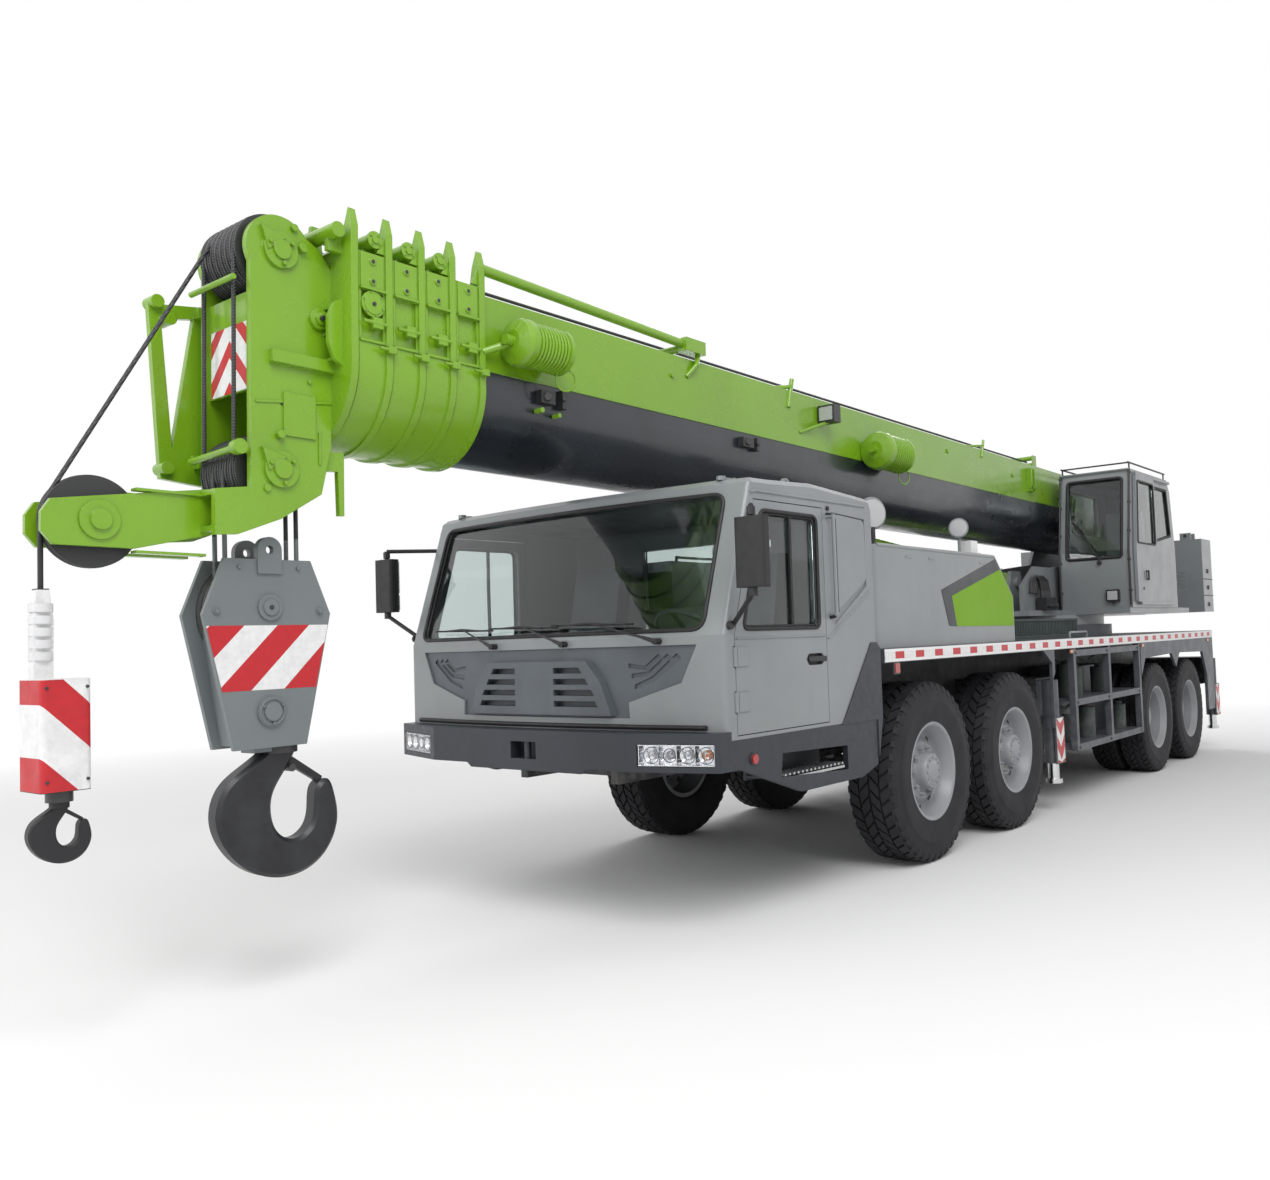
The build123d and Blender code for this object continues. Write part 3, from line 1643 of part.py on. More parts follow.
# ---------------------------------------------------------------- hooks
def hook_shape(size, thick):
    """A forged single hook in the XZ plane; size is the throat's radius, z = 0 its centre."""
    curve = Spline(*[(x * size, z * size) for x, z in HOOK_CURVE])
    start, end = HOOK_CURVE[0], HOOK_CURVE[-1]
    top = 3.2 * size
    shank = Polyline(
        (start[0] * size, start[1] * size),
        (start[0] * size, top),
        (end[0] * size, top),
        (end[0] * size, end[1] * size),
    )
    body = extrude(make_face([curve, shank]), amount=thick / 2, both=True)
    body = chamfer(body.edges().filter_by(lambda e: e.bounding_box().size.Z < 0.01), 0.16 * size)
    # spring latch from the shank to the tip
    latch = Polyline(
        (-0.05 * size, 2.45 * size),
        (-1.50 * size, 1.42 * size),
        (-1.36 * size, 1.17 * size),
        (0.12 * size, 2.15 * size),
        close=True,
    )
    body += extrude(make_face(latch), amount=thick / 6, both=True)
    return Rot(90, 0, 0) * body


def main_hook():
    pin = boom_frame * Pos(lower_pin[0], 0, lower_pin[1])
    x = pin.position.X
    y = block_half_thickness
    outline = (
        (x - 185, 1215),
        (x + 185, 1215),
        (x + block_half_width, 1850),
        (x + 220, 2110),
        (x - 220, 2110),
        (x - block_half_width, 1850),
    )
    body = side_profile(outline, y - 25, y)
    body += side_profile(outline, -y, -y + 25)
    body += side_profile(
        ((x - 150, 1230), (x + 150, 1230), (x + 235, 1780), (x - 235, 1780)), -y, y
    )
    # rope anchor lugs with a bore, the sheave boss and the trunnion pin
    lug_z = 2155.0
    for side in (1, -1):
        lug_inner = side * (y - 25)
        lug_outer = side * (y + 12)
        body += block(x - 62, x + 62, lug_inner, lug_outer, 2040, lug_z)
        body += shaft(x, lug_z, 62, lug_inner, lug_outer)
        body -= shaft(x, lug_z, 20, side * (y - 40), side * (y + 40))
        body += shaft(x, 1880, 62, side * (y - 1), side * (y + 14))
        for corner_x in (-1, 1):
            bolt_x = x + corner_x * (block_half_width - 62)
            body += shaft(bolt_x, 1862, 16, side * (y - 1), side * (y + 10))
    body += shaft(x, 1386, 72, -y - 15, y + 15)
    body += shaft(x, 1386, 44, -y - 26, y + 26)
    body += Pos(x + main_throat_shift, 0, main_throat_z) * hook_shape(main_throat, 104)
    body += block(x - 110, x + 60, -60, 60, 1190, 1260)
    # rope falls up to the lower sheaves
    reach = head_sheave_radius - groove_depth + rope_radius + seat_gap
    for offset_x in (-1, 1):
        for fall_y in (-groove_pitch, groove_pitch):
            fall_x = x + offset_x * reach
            body += post(fall_x, fall_y, rope_radius, 1750, pin.position.Z)
    save("main_hook_block", body)


def aux_hook():
    pin = boom_frame * Pos(arm_pin[0], 0, arm_pin[1])
    rope_x = pin.position.X + arm_sheave_radius - groove_depth + rope_radius + seat_gap
    x = rope_x - aux_hang
    body = block(x - 120, x + 75, -aux_half_thickness, aux_half_thickness, 1125, 1585)
    body = fillet(body.edges().filter_by(Axis.Z), 25)
    body += post(rope_x, 0, rope_radius, 1560, pin.position.Z)
    body += side_profile(
        (
            (rope_x - 36, 1580),
            (rope_x + 36, 1580),
            (rope_x + 40, 1820),
            (rope_x + 22, 1960),
            (rope_x - 22, 1960),
            (rope_x - 40, 1820),
        ),
        -28,
        28,
    )
    body += post(x + aux_throat_shift + 24, 0, 38, 1050, 1130)
    body += Pos(x + aux_throat_shift, 0, aux_throat_z) * hook_shape(aux_throat, 52)
    save("aux_hook", body)


make_wheels()
axle_beams()
chassis_frame()
carrier_deck()
engine_hood()
cab_shell()
cab_mask()
glass_panes()
for side_name, side in SIDES:
    cab_door(side_name, side)
front_bumper()
cab_interior()
cab_mirrors()
side_tanks()
outriggers()
turntable()
winches()
counterweight()
operator_cab()
make_boom()
boom_head()
luff_cylinder()
main_hook()
aux_hook()
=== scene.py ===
"""Finishes and fine pieces for a four-axle telescopic truck crane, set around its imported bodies.

Metres. +X is forward, +Y is the crane's left, +Z is up, and the floor is z = 0.
"""

import json
from math import atan2, cos, pi, radians, sin

import bmesh
import bpy
from bpy.props import FloatProperty, FloatVectorProperty, PointerProperty
from mathutils import Matrix, Vector


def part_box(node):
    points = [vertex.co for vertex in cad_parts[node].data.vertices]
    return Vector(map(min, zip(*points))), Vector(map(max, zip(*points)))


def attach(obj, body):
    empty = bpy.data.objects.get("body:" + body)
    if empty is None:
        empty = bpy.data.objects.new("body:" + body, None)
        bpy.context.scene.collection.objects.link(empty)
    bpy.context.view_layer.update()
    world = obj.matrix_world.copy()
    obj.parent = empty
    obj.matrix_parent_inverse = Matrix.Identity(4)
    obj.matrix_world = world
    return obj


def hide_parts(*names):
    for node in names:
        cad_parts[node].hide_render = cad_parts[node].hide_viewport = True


bl_info = {
    "name": "Truck Crane Finishes",
    "version": (1, 0, 0),
    "blender": (4, 5, 0),
    "location": "View3D > Sidebar > Truck Crane",
    "description": "Paint, glass, tread, ropes, lamps and trim for a telescopic truck crane",
    "category": "Object",
}

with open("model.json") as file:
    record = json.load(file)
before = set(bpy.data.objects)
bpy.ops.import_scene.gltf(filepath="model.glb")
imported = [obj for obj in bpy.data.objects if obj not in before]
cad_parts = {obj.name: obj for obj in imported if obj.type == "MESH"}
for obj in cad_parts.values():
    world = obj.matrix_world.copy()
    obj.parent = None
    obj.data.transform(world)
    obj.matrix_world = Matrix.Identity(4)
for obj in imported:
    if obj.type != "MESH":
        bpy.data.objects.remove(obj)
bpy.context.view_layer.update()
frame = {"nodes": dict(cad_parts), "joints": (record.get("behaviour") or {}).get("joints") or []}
NODES = frame["nodes"]
JOINTS = {joint["name"]: joint for joint in frame["joints"]}
SIDES = (("left", 1), ("right", -1))
X, Y, Z = Matrix.Identity(3)


# ---------------------------------------------------------------- properties
def colour(name, description, value):
    """A paint or plastic colour, as a linear RGB property."""
    return FloatVectorProperty(
        name=name, description=description, default=value, size=3, min=0, max=1, subtype="COLOR"
    )


def length(name, description, value):
    """A size in metres."""
    return FloatProperty(
        name=name, description=description, default=value, min=0.0005, max=20, unit="LENGTH"
    )


class CraneColours(bpy.types.PropertyGroup):
    """Colours of the crane's finishes."""

    boom_green: colour("Boom green", "Gloss paint of the boom", (0.180, 0.365, 0.010))
    # black paint under the boom; its blue tint is a painted reflection of the sky
    belly_black: colour("Belly black", "Paint under the boom", (0.010, 0.014, 0.020))
    cab_silver: colour("Cab silver", "Paint of cabs and hood", (0.215, 0.232, 0.240))
    deck_grey: colour("Deck grey", "Paint of deck, skirts and frame sides", (0.062, 0.068, 0.082))
    chassis_black: colour("Chassis black", "Paint of frame and axles", (0.016, 0.017, 0.021))
    bumper_grey: colour("Bumper grey", "Paint of the bumper and the lower skirts", (0.020, 0.024, 0.032))
    mask_grey: colour("Mask grey", "Moulded front mask and bumper", (0.080, 0.092, 0.105))
    tyre_black: colour("Tyre black", "Rubber", (0.012, 0.012, 0.014))
    rim_silver: colour("Rim silver", "Wheel paint", (0.27, 0.28, 0.30))
    hook_grey: colour("Hook grey", "Paint of the hook block", (0.165, 0.185, 0.190))
    safety_red: colour("Safety red", "Red of the warning stripes", (0.52, 0.015, 0.022))
    safety_white: colour("Safety white", "White of the warning stripes", (0.80, 0.80, 0.80))


class CraneSizes(bpy.types.PropertyGroup):
    """Sizes of the fine pieces."""

    rope: length("Rope", "Diameter of the hoist ropes", 0.020)
    tread: length("Tread depth", "Depth of the tyre tread", 0.020)


class CraneStage(bpy.types.PropertyGroup):
    """Floor, light and camera."""

    floor: colour("Floor", "Colour of the floor", (0.92, 0.92, 0.92))
    near: length("Near", "Where the floor starts to turn white", 7.0)
    far: length("Far", "Where the floor is plain white", 15.0)
    sky: FloatProperty(name="Sky", description="Share of the white surroundings that lights", default=0.5)
    lens: FloatProperty(name="Lens", description="Focal length in millimetres", default=30.66)
    key: FloatProperty(name="Key", description="Power of the key light in watts", default=1500.0)


def hue(colour):
    """A colour as it is, or the property of that name."""
    return getattr(bpy.context.scene.crane_colours, colour) if isinstance(colour, str) else colour


# ---------------------------------------------------------------- boom frame
BOOM_AXIS = Vector(JOINTS["telescope_2"]["axis"])
BOOM_PIVOT = Vector(JOINTS["luff"]["pos_m"])
BOOM_PITCH = atan2(BOOM_AXIS.z, BOOM_AXIS.x)
BOOM = Matrix.Translation(BOOM_PIVOT) @ Matrix.Rotation(-BOOM_PITCH, 4, "Y")


# ---------------------------------------------------------------- shader helpers
class Shader:
    """A small builder for one principled material."""

    def __init__(self, name):
        self.material = bpy.data.materials.new(name)
        self.material.use_nodes = True
        self.tree = self.material.node_tree
        self.tree.nodes.clear()
        self.surface = self.node("ShaderNodeBsdfPrincipled")
        output = self.node("ShaderNodeOutputMaterial")
        self.link(self.surface.outputs["BSDF"], output.inputs["Surface"])
        self.place = self.node("ShaderNodeTexCoord").outputs["Object"]

    def node(self, kind, **settings):
        """A new node of a kind, with its settings."""
        made = self.tree.nodes.new(kind)
        for key, value in settings.items():
            setattr(made, key, value)
        return made

    def link(self, start, end):
        """Joins one socket to another."""
        self.tree.links.new(start, end)

    def set(self, **values):
        """Sets plain values on the surface, by the names of its sockets."""
        for key, value in values.items():
            self.surface.inputs[key.replace("_", " ")].default_value = value
        return self

    def noise(self, scale, detail=4.0, roughness=0.55, stretch=None):
        """Soft noise over the piece, stretched along its axes when asked."""
        made = self.node("ShaderNodeTexNoise")
        made.inputs["Scale"].default_value = scale
        made.inputs["Detail"].default_value = detail
        made.inputs["Roughness"].default_value = roughness
        source = self.place
        if stretch:
            mapping = self.node("ShaderNodeMapping")
            mapping.inputs["Scale"].default_value = stretch
            self.link(source, mapping.inputs["Vector"])
            source = mapping.outputs["Vector"]
        self.link(source, made.inputs["Vector"])
        return made.outputs["Fac"]

    def ramp(self, source, low, high, start=0.0, end=1.0):
        """Takes low to high onto start to end."""
        made = self.node("ShaderNodeMapRange")
        made.inputs["From Min"].default_value = low
        made.inputs["From Max"].default_value = high
        made.inputs["To Min"].default_value = start
        made.inputs["To Max"].default_value = end
        self.link(source, made.inputs["Value"])
        return made.outputs["Result"]

    def mix(self, factor, first, second):
        """Blends two colours, plain or from a socket."""
        made = self.node("ShaderNodeMix", data_type="RGBA")
        self.link(factor, made.inputs["Factor"])
        for socket, value in ((made.inputs["A"], first), (made.inputs["B"], second)):
            if isinstance(value, bpy.types.NodeSocket):
                self.link(value, socket)
            else:
                socket.default_value = (*value[:3], 1.0)
        return made.outputs["Result"]

    def math(self, operation, first, second=None):
        """A sum of numbers or sockets."""
        made = self.node("ShaderNodeMath", operation=operation)
        for socket, value in zip(made.inputs, (first, second)):
            if value is None:
                continue
            if isinstance(value, (int, float)):
                socket.default_value = value
            else:
                self.link(value, socket)
        return made.outputs["Value"]

    def axes(self, turn=None):
        """X, Y and Z of a point on the piece, turned about the boom's pivot when turn is given."""
        source = self.place
        if turn:
            rotate = self.node("ShaderNodeVectorRotate", rotation_type="Y_AXIS")
            rotate.inputs["Center"].default_value = BOOM_PIVOT
            rotate.inputs["Angle"].default_value = turn
            self.link(source, rotate.inputs["Vector"])
            source = rotate.outputs["Vector"]
        split = self.node("ShaderNodeSeparateXYZ")
        self.link(source, split.inputs["Vector"])
        return split.outputs

    def colour(self, source):
        """Gives the surface its colour, plain or from a socket."""
        if isinstance(source, (tuple, list)):
            self.surface.inputs["Base Color"].default_value = (*source[:3], 1.0)
        else:
            self.link(source, self.surface.inputs["Base Color"])
        return self

    def roughness(self, source):
        """Gives the surface its roughness from a socket."""
        self.link(source, self.surface.inputs["Roughness"])
        return self

    def bump(self, height, distance, strength=1.0, edge=None):
        """Bump from a height, over softly rounded edges when edge is given."""
        made = self.node("ShaderNodeBump")
        made.inputs["Distance"].default_value = distance
        made.inputs["Strength"].default_value = strength
        self.link(height, made.inputs["Height"])
        if edge:
            bevel = self.node("ShaderNodeBevel", samples=4)
            bevel.inputs["Radius"].default_value = edge
            self.link(bevel.outputs["Normal"], made.inputs["Normal"])
        self.link(made.outputs["Normal"], self.surface.inputs["Normal"])
        return self


def shade(colour, factor=1.0):
    """A colour, darker or lighter by a factor."""
    return tuple(min(channel * factor, 1.0) for channel in hue(colour)[:3])


DUST = (0.32, 0.30, 0.27)


def paint(name, base, roughness=0.32, coat=0.4, edge=0.006, grime=0.35):
    """Sprayed paint: slight tone change, dust low down, orange peel and soft edges."""
    shader = Shader(name)
    shader.set(Coat_Weight=coat, Coat_Roughness=0.12, Specular_IOR_Level=0.5)
    tone = shader.ramp(shader.noise(1.7, 3.0), 0.3, 0.7)
    body = shader.mix(tone, shade(base, 0.94), shade(base, 1.06))
    height = shader.axes()["Z"]
    low = shader.ramp(height, 1.5, 0.35, 0.0, grime)
    speckle = shader.ramp(shader.noise(9.0, 6.0, 0.7), 0.42, 0.70)
    dusty = shader.math("MULTIPLY", low, speckle)
    shader.colour(shader.mix(dusty, body, DUST))
    shader.roughness(shader.ramp(shader.noise(5.0, 5.0), 0.3, 0.75, roughness - 0.06, roughness + 0.12))
    return shader.bump(shader.noise(160.0, 2.0), 0.0004, 0.25, edge)


# ---------------------------------------------------------------- mesh helpers
def around(count, start=0.0):
    """Evenly spaced angles of a full turn."""
    return [start + 2 * pi * number / count for number in range(count)]


def rounded(corners, radius, steps=5):
    """A closed outline whose corners are turned by soft curves."""
    points = []
    for number, place in enumerate(corners):
        corner = Vector(place)
        before = (Vector(corners[number - 1]) - corner).normalized() * radius
        after = (Vector(corners[(number + 1) % len(corners)]) - corner).normalized() * radius
        for step in range(steps + 1):
            part = step / steps
            points.append(corner + before * (1 - part) ** 2 + after * part**2)
    return points


def plate(low, high, radius):
    """The rounded outline of an upright rectangle, from its low corner to its high one."""
    return rounded((low, (high[0], low[1]), high, (low[0], high[1])), radius)


def finer(points, reach):
    """The same closed outline with no stretch longer than reach."""
    made = []
    for number, point in enumerate(points):
        after = points[(number + 1) % len(points)]
        count = max(1, round((after - point).length / reach))
        made += [point.lerp(after, step / count) for step in range(count)]
    return made


class Piece:
    """One mesh piece put together from simple solids, then set on its body."""

    def __init__(self, name, body, finish, place=None):
        self.name = name
        self.body = body
        self.finishes = [finish]
        self.place = place or Matrix()
        self.mesh = bmesh.new()
        self.finish = 0

    def use(self, finish):
        """What follows has this finish."""
        if finish not in self.finishes:
            self.finishes.append(finish)
        self.finish = self.finishes.index(finish)
        return self

    def solid(self, points, faces):
        """A solid from its corners and the faces between them."""
        corners = [self.mesh.verts.new(point) for point in points]
        for face in faces:
            self.mesh.faces.new([corners[index] for index in face]).material_index = self.finish
        return self

    def prism(self, outline, push):
        """A flat outline of 3-D points pushed along a vector."""
        push = Vector(push)
        count = len(outline)
        points = [Vector(point) for point in outline]
        points += [point + push for point in points]
        faces = [tuple(range(count)), tuple(range(count, 2 * count))]
        for number in range(count):
            after = (number + 1) % count
            faces.append((number, after, count + after, count + number))
        return self.solid(points, faces)

    def box(self, low, high):
        """An upright box between two opposite corners."""
        (x0, y0, z0), (x1, y1, z1) = low, high
        return self.prism(((x0, y0, z0), (x1, y0, z0), (x1, y1, z0), (x0, y1, z0)), (0, 0, z1 - z0))

    def side(self, outline, y0, y1):
        """An outline of x, z points between two y places."""
        return self.prism([(x, y0, z) for x, z in outline], (0, y1 - y0, 0))

    def lathe(self, outline, centre, axis, count=32):
        """An open outline of (along, radius) turned about an axis through centre."""
        axis = Vector(axis).normalized()
        turn = axis.to_track_quat("Z", "Y").to_matrix()
        centre = Vector(centre)
        rings = []
        for along, radius in outline:
            angles = around(count) if radius > 1e-6 else [0.0]
            spots = [Vector((radius * cos(angle), radius * sin(angle), along)) for angle in angles]
            rings.append([self.mesh.verts.new(centre + turn @ spot) for spot in spots])
        for ring, after in zip(rings, rings[1:]):
            for number in range(count):
                step = (number + 1) % count
                corners = [ring[number % len(ring)], ring[step % len(ring)]]
                corners += [after[step % len(after)], after[number % len(after)]]
                corners = list(dict.fromkeys(corners))
                if len(corners) > 2:
                    self.mesh.faces.new(corners).material_index = self.finish
        return self

    def rod(self, start, end, radius, count=12, tip=None):
        """A capped round bar; tip is the far end's radius."""
        axis = Vector(end) - Vector(start)
        tip = radius if tip is None else tip
        return self.lathe(((0, 0), (0, radius), (axis.length, tip), (axis.length, 0)), start, axis, count)

    def stud(self, foot, reach, radius, count=12, tip=None):
        """A capped round bar that stands on its foot by the vector reach."""
        return self.rod(foot, Vector(foot) + reach, radius, count, tip)

    def tube(self, path, radius, count=8, closed=False):
        """A round tube along a path of points."""
        points = [Vector(point) for point in path]
        total = len(points)
        rings = []
        side = None
        for number, point in enumerate(points):
            before = points[number - 1] if closed or number else point
            after = points[(number + 1) % total] if closed or number + 1 < total else point
            ahead = (after - before).normalized()
            if side is None:
                side = ahead.orthogonal().normalized()
            side = (side - ahead * side.dot(ahead)).normalized()
            other = ahead.cross(side)
            spots = [point + radius * (cos(angle) * side + sin(angle) * other) for angle in around(count)]
            rings.append([self.mesh.verts.new(spot) for spot in spots])
        pairs = list(zip(rings, rings[1:]))
        if closed:
            pairs.append((rings[-1], rings[0]))
        else:
            for ring in (rings[0], rings[-1]):
                self.mesh.faces.new(ring).material_index = self.finish
        for ring, after in pairs:
            for number in range(count):
                step = (number + 1) % count
                corners = (ring[number], ring[step], after[step], after[number])
                self.mesh.faces.new(corners).material_index = self.finish
        return self

    def ring(self, centre, axis, radius, thick, count=48, sides=8):
        """A torus round an axis."""
        axis = Vector(axis)
        first = axis.orthogonal().normalized()
        second = axis.cross(first)
        path = [Vector(centre) + radius * (cos(a) * first + sin(a) * second) for a in around(count)]
        return self.tube(path, thick, sides, True)

    def bolts(self, centre, across, radius, angles, *sizes):
        """A stud at each angle of a circle; across gives the directions of its 0 and 90 degrees."""
        for angle in angles:
            foot = Vector(centre) + radius * (cos(angle) * across[0] + sin(angle) * across[1])
            self.stud(foot, *sizes)

    def done(self, smooth=35.0, replaces=()):
        """Makes the object, smooth where its faces meet at less than the given angle."""
        bmesh.ops.recalc_face_normals(self.mesh, faces=self.mesh.faces)
        bmesh.ops.transform(self.mesh, matrix=self.place, verts=self.mesh.verts)
        limit = radians(smooth)
        for face in self.mesh.faces:
            face.smooth = True
        for edge in self.mesh.edges:
            edge.smooth = len(edge.link_faces) == 2 and edge.calc_face_angle(pi) < limit
        data = bpy.data.meshes.new(self.name)
        self.mesh.to_mesh(data)
        self.mesh.free()
        for finish in self.finishes:
            data.materials.append(material(finish))
        made = bpy.data.objects.new(self.name, data)
        bpy.context.scene.collection.objects.link(made)
        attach(made, self.body)
        if replaces:
            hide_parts(*replaces)
        return made


# ---------------------------------------------------------------- materials
# the black belly of the boom, from its pivot: top, front end, half width
BELLY = (0.205, 10.515, 0.385)
# heights of the main block: top of the forged hook, foot of the ropes
MAIN_BLOCK = (1.192, 2.222)
# heights of the aux block: top of the hook, top of the striped box, foot of the rope
AUX_BLOCK = (1.128, 1.583, 1.955)


def boom_paint():
    """Gloss green above, black below, parted by a level border along the boom."""
    shader = paint("boom_two_tone", "boom_green", 0.28, 0.5, grime=0.0)
    axes = shader.axes(turn=BOOM_PITCH)
    top, front, half = BELLY
    low = shader.math("LESS_THAN", axes["Z"], BOOM_PIVOT.z + top)
    behind = shader.math("LESS_THAN", axes["X"], BOOM_PIVOT.x + front)
    inside = shader.math("LESS_THAN", shader.math("ABSOLUTE", axes["Y"]), half)
    below = shader.math("MULTIPLY", shader.math("MULTIPLY", low, behind), inside)
    old = shader.surface.inputs["Base Color"].links[0].from_socket
    # the belly's black paint, its blue tint a painted reflection of the sky
    tone = shader.ramp(shader.noise(2.3), 0.3, 0.7)
    black = shader.mix(tone, shade("belly_black", 0.7), shade("belly_black", 1.5))
    shader.colour(shader.mix(below, old, black))
    return shader


def rubber():
    """Tyre rubber, greyer where it is dusty."""
    shader = Shader("tyre_rubber")
    tone = shader.ramp(shader.noise(6.0, 6.0, 0.7), 0.35, 0.75)
    shader.colour(shader.mix(tone, shade("tyre_black", 0.8), shade("tyre_black", 2.4)))
    shader.set(Specular_IOR_Level=0.35)
    shader.roughness(shader.ramp(shader.noise(12.0), 0.3, 0.8, 0.62, 0.85))
    return shader.bump(shader.noise(140.0, 4.0), 0.0012, 0.5, 0.003)


def moulded(name, base, roughness=0.5):
    """Textured plastic."""
    shader = Shader(name)
    tone = shader.ramp(shader.noise(3.0), 0.3, 0.7)
    shader.colour(shader.mix(tone, shade(base, 0.9), shade(base, 1.15)))
    shader.roughness(shader.ramp(shader.noise(20.0), 0.3, 0.7, roughness - 0.08, roughness + 0.08))
    return shader.bump(shader.noise(420.0, 2.0), 0.0005, 0.35, 0.005)


def metal(name, base, roughness=0.3):
    """Bare or plated metal with a drawn grain."""
    shader = Shader(name)
    shader.set(Metallic=1.0)
    grain = shader.noise(40.0, 3.0, 0.6, (1.0, 12.0, 1.0))
    shader.colour(shader.mix(shader.ramp(grain, 0.3, 0.7), shade(base, 0.85), shade(base, 1.1)))
    shader.roughness(shader.ramp(grain, 0.2, 0.8, roughness - 0.08, roughness + 0.12))
    return shader.bump(grain, 0.0003, 0.2, 0.003)


def window_glass():
    """Tinted safety glass."""
    shader = Shader("window_glass")
    shader.colour((0.70, 0.76, 0.75))
    shader.set(Transmission_Weight=1.0, IOR=1.45, Roughness=0.0)
    film = shader.noise(3.0, 5.0)
    return shader.bump(film, 0.0005, 0.05)


def banded(name, direction, period, offset, mirrored=False, share=0.5):
    """Red and white in straight bands square to a direction, mirrored about y = 0 when asked."""
    shader = Shader(name)
    shader.set(Roughness=0.35, Specular_IOR_Level=0.5)
    axes = shader.axes()
    across = shader.math("ABSOLUTE", axes["Y"]) if mirrored else axes["Y"]
    total = shader.math("MULTIPLY", axes["X"], direction[0])
    total = shader.math("ADD", total, shader.math("MULTIPLY", across, direction[1]))
    total = shader.math("ADD", total, shader.math("MULTIPLY", axes["Z"], direction[2]))
    turns = shader.math("DIVIDE", shader.math("ADD", total, offset), period)
    band = shader.math("LESS_THAN", shader.math("FRACT", turns), share)
    worn = shader.ramp(shader.noise(30.0, 5.0, 0.7), 0.35, 0.8)
    one = shader.mix(worn, shade("safety_white"), shade("safety_white", 0.8))
    two = shader.mix(worn, shade("safety_red"), shade("safety_red", 0.86))
    shader.colour(shader.mix(band, two, one))
    return shader.bump(shader.noise(60.0), 0.0004, 0.2)


def hook_block():
    """Grey block, black forged hook below it and dark ropes above it."""
    shader = paint("hook_paint", "hook_grey", 0.42, 0.1, grime=0.0, edge=0.004)
    height = shader.axes()["Z"]
    old = shader.surface.inputs["Base Color"].links[0].from_socket
    low = shader.math("LESS_THAN", height, MAIN_BLOCK[0])
    high = shader.math("GREATER_THAN", height, MAIN_BLOCK[1])
    dark = shader.math("MAXIMUM", low, high)
    tone = shader.ramp(shader.noise(8.0, 5.0), 0.35, 0.7)
    black = shader.mix(tone, (0.006, 0.006, 0.008), (0.020, 0.021, 0.025))
    shader.colour(shader.mix(dark, old, black))
    return shader


def aux_block():
    """White box with red diagonals, wrapped socket, black hook and rope."""
    shader = Shader("aux_block")
    shader.set(Specular_IOR_Level=0.5)
    axes = shader.axes()
    slant = shader.math("SUBTRACT", axes["Z"], axes["X"])
    turns = shader.math("DIVIDE", shader.math("ADD", slant, 0.10), 0.40)
    band = shader.math("LESS_THAN", shader.math("FRACT", turns), 0.46)
    box = shader.math("MULTIPLY", band, shader.math("LESS_THAN", axes["Z"], AUX_BLOCK[1]))
    worn = shader.ramp(shader.noise(14.0, 6.0, 0.7), 0.4, 0.75)
    white = shader.mix(worn, shade("safety_white"), shade("safety_white", 0.78))
    red = shader.mix(worn, shade("safety_red"), shade("safety_red", 0.8))
    body = shader.mix(box, white, red)
    low = shader.math("LESS_THAN", axes["Z"], AUX_BLOCK[0])
    high = shader.math("GREATER_THAN", axes["Z"], AUX_BLOCK[2])
    dark = shader.math("MAXIMUM", low, high)
    shader.colour(shader.mix(dark, body, (0.012, 0.012, 0.014)))
    shader.roughness(shader.ramp(shader.noise(9.0), 0.3, 0.7, 0.35, 0.6))
    return shader.bump(shader.noise(50.0, 4.0), 0.001, 0.3, 0.004)


def wire_rope():
    """Greased wire rope, its strands wound round it."""
    shader = Shader("wire_rope")
    wave = shader.node("ShaderNodeTexWave", wave_type="BANDS", bands_direction="DIAGONAL")
    wave.inputs["Scale"].default_value = 42.0
    shader.link(shader.place, wave.inputs["Vector"])
    strands = wave.outputs["Fac"]
    shader.colour(shader.mix(strands, (0.008, 0.008, 0.010), (0.050, 0.050, 0.055)))
    shader.roughness(shader.ramp(strands, 0.0, 1.0, 0.45, 0.65))
    return shader.bump(strands, 0.003, 0.6)


def fluted_lens(name, base):
    """Moulded lamp glass with fine flutes."""
    shader = Shader(name)
    shader.colour(base)
    wave = shader.node("ShaderNodeTexWave", wave_type="BANDS", bands_direction="Z")
    wave.inputs["Scale"].default_value = 30.0
    shader.link(shader.place, wave.inputs["Vector"])
    shader.set(Specular_IOR_Level=0.8, Coat_Weight=0.6, Roughness=0.08, Transmission_Weight=0.15)
    return shader.bump(wave.outputs["Fac"], 0.002, 0.4)


def clear_cover():
    """Clear moulded cover of a lamp."""
    shader = Shader("lamp_cover")
    shader.colour((0.95, 0.96, 0.97))
    shader.set(Transmission_Weight=1.0, IOR=1.3, Roughness=0.02)
    return shader.bump(shader.noise(60.0, 2.0), 0.0008, 0.12)


MATERIALS = {}


def material(name):
    """A finish by name, made once."""
    if name not in MATERIALS:
        maker, *settings = MAKERS[name]
        named = settings.pop() if settings and isinstance(settings[-1], dict) else {}
        MATERIALS[name] = maker(*settings, **named).material
    return MATERIALS[name]


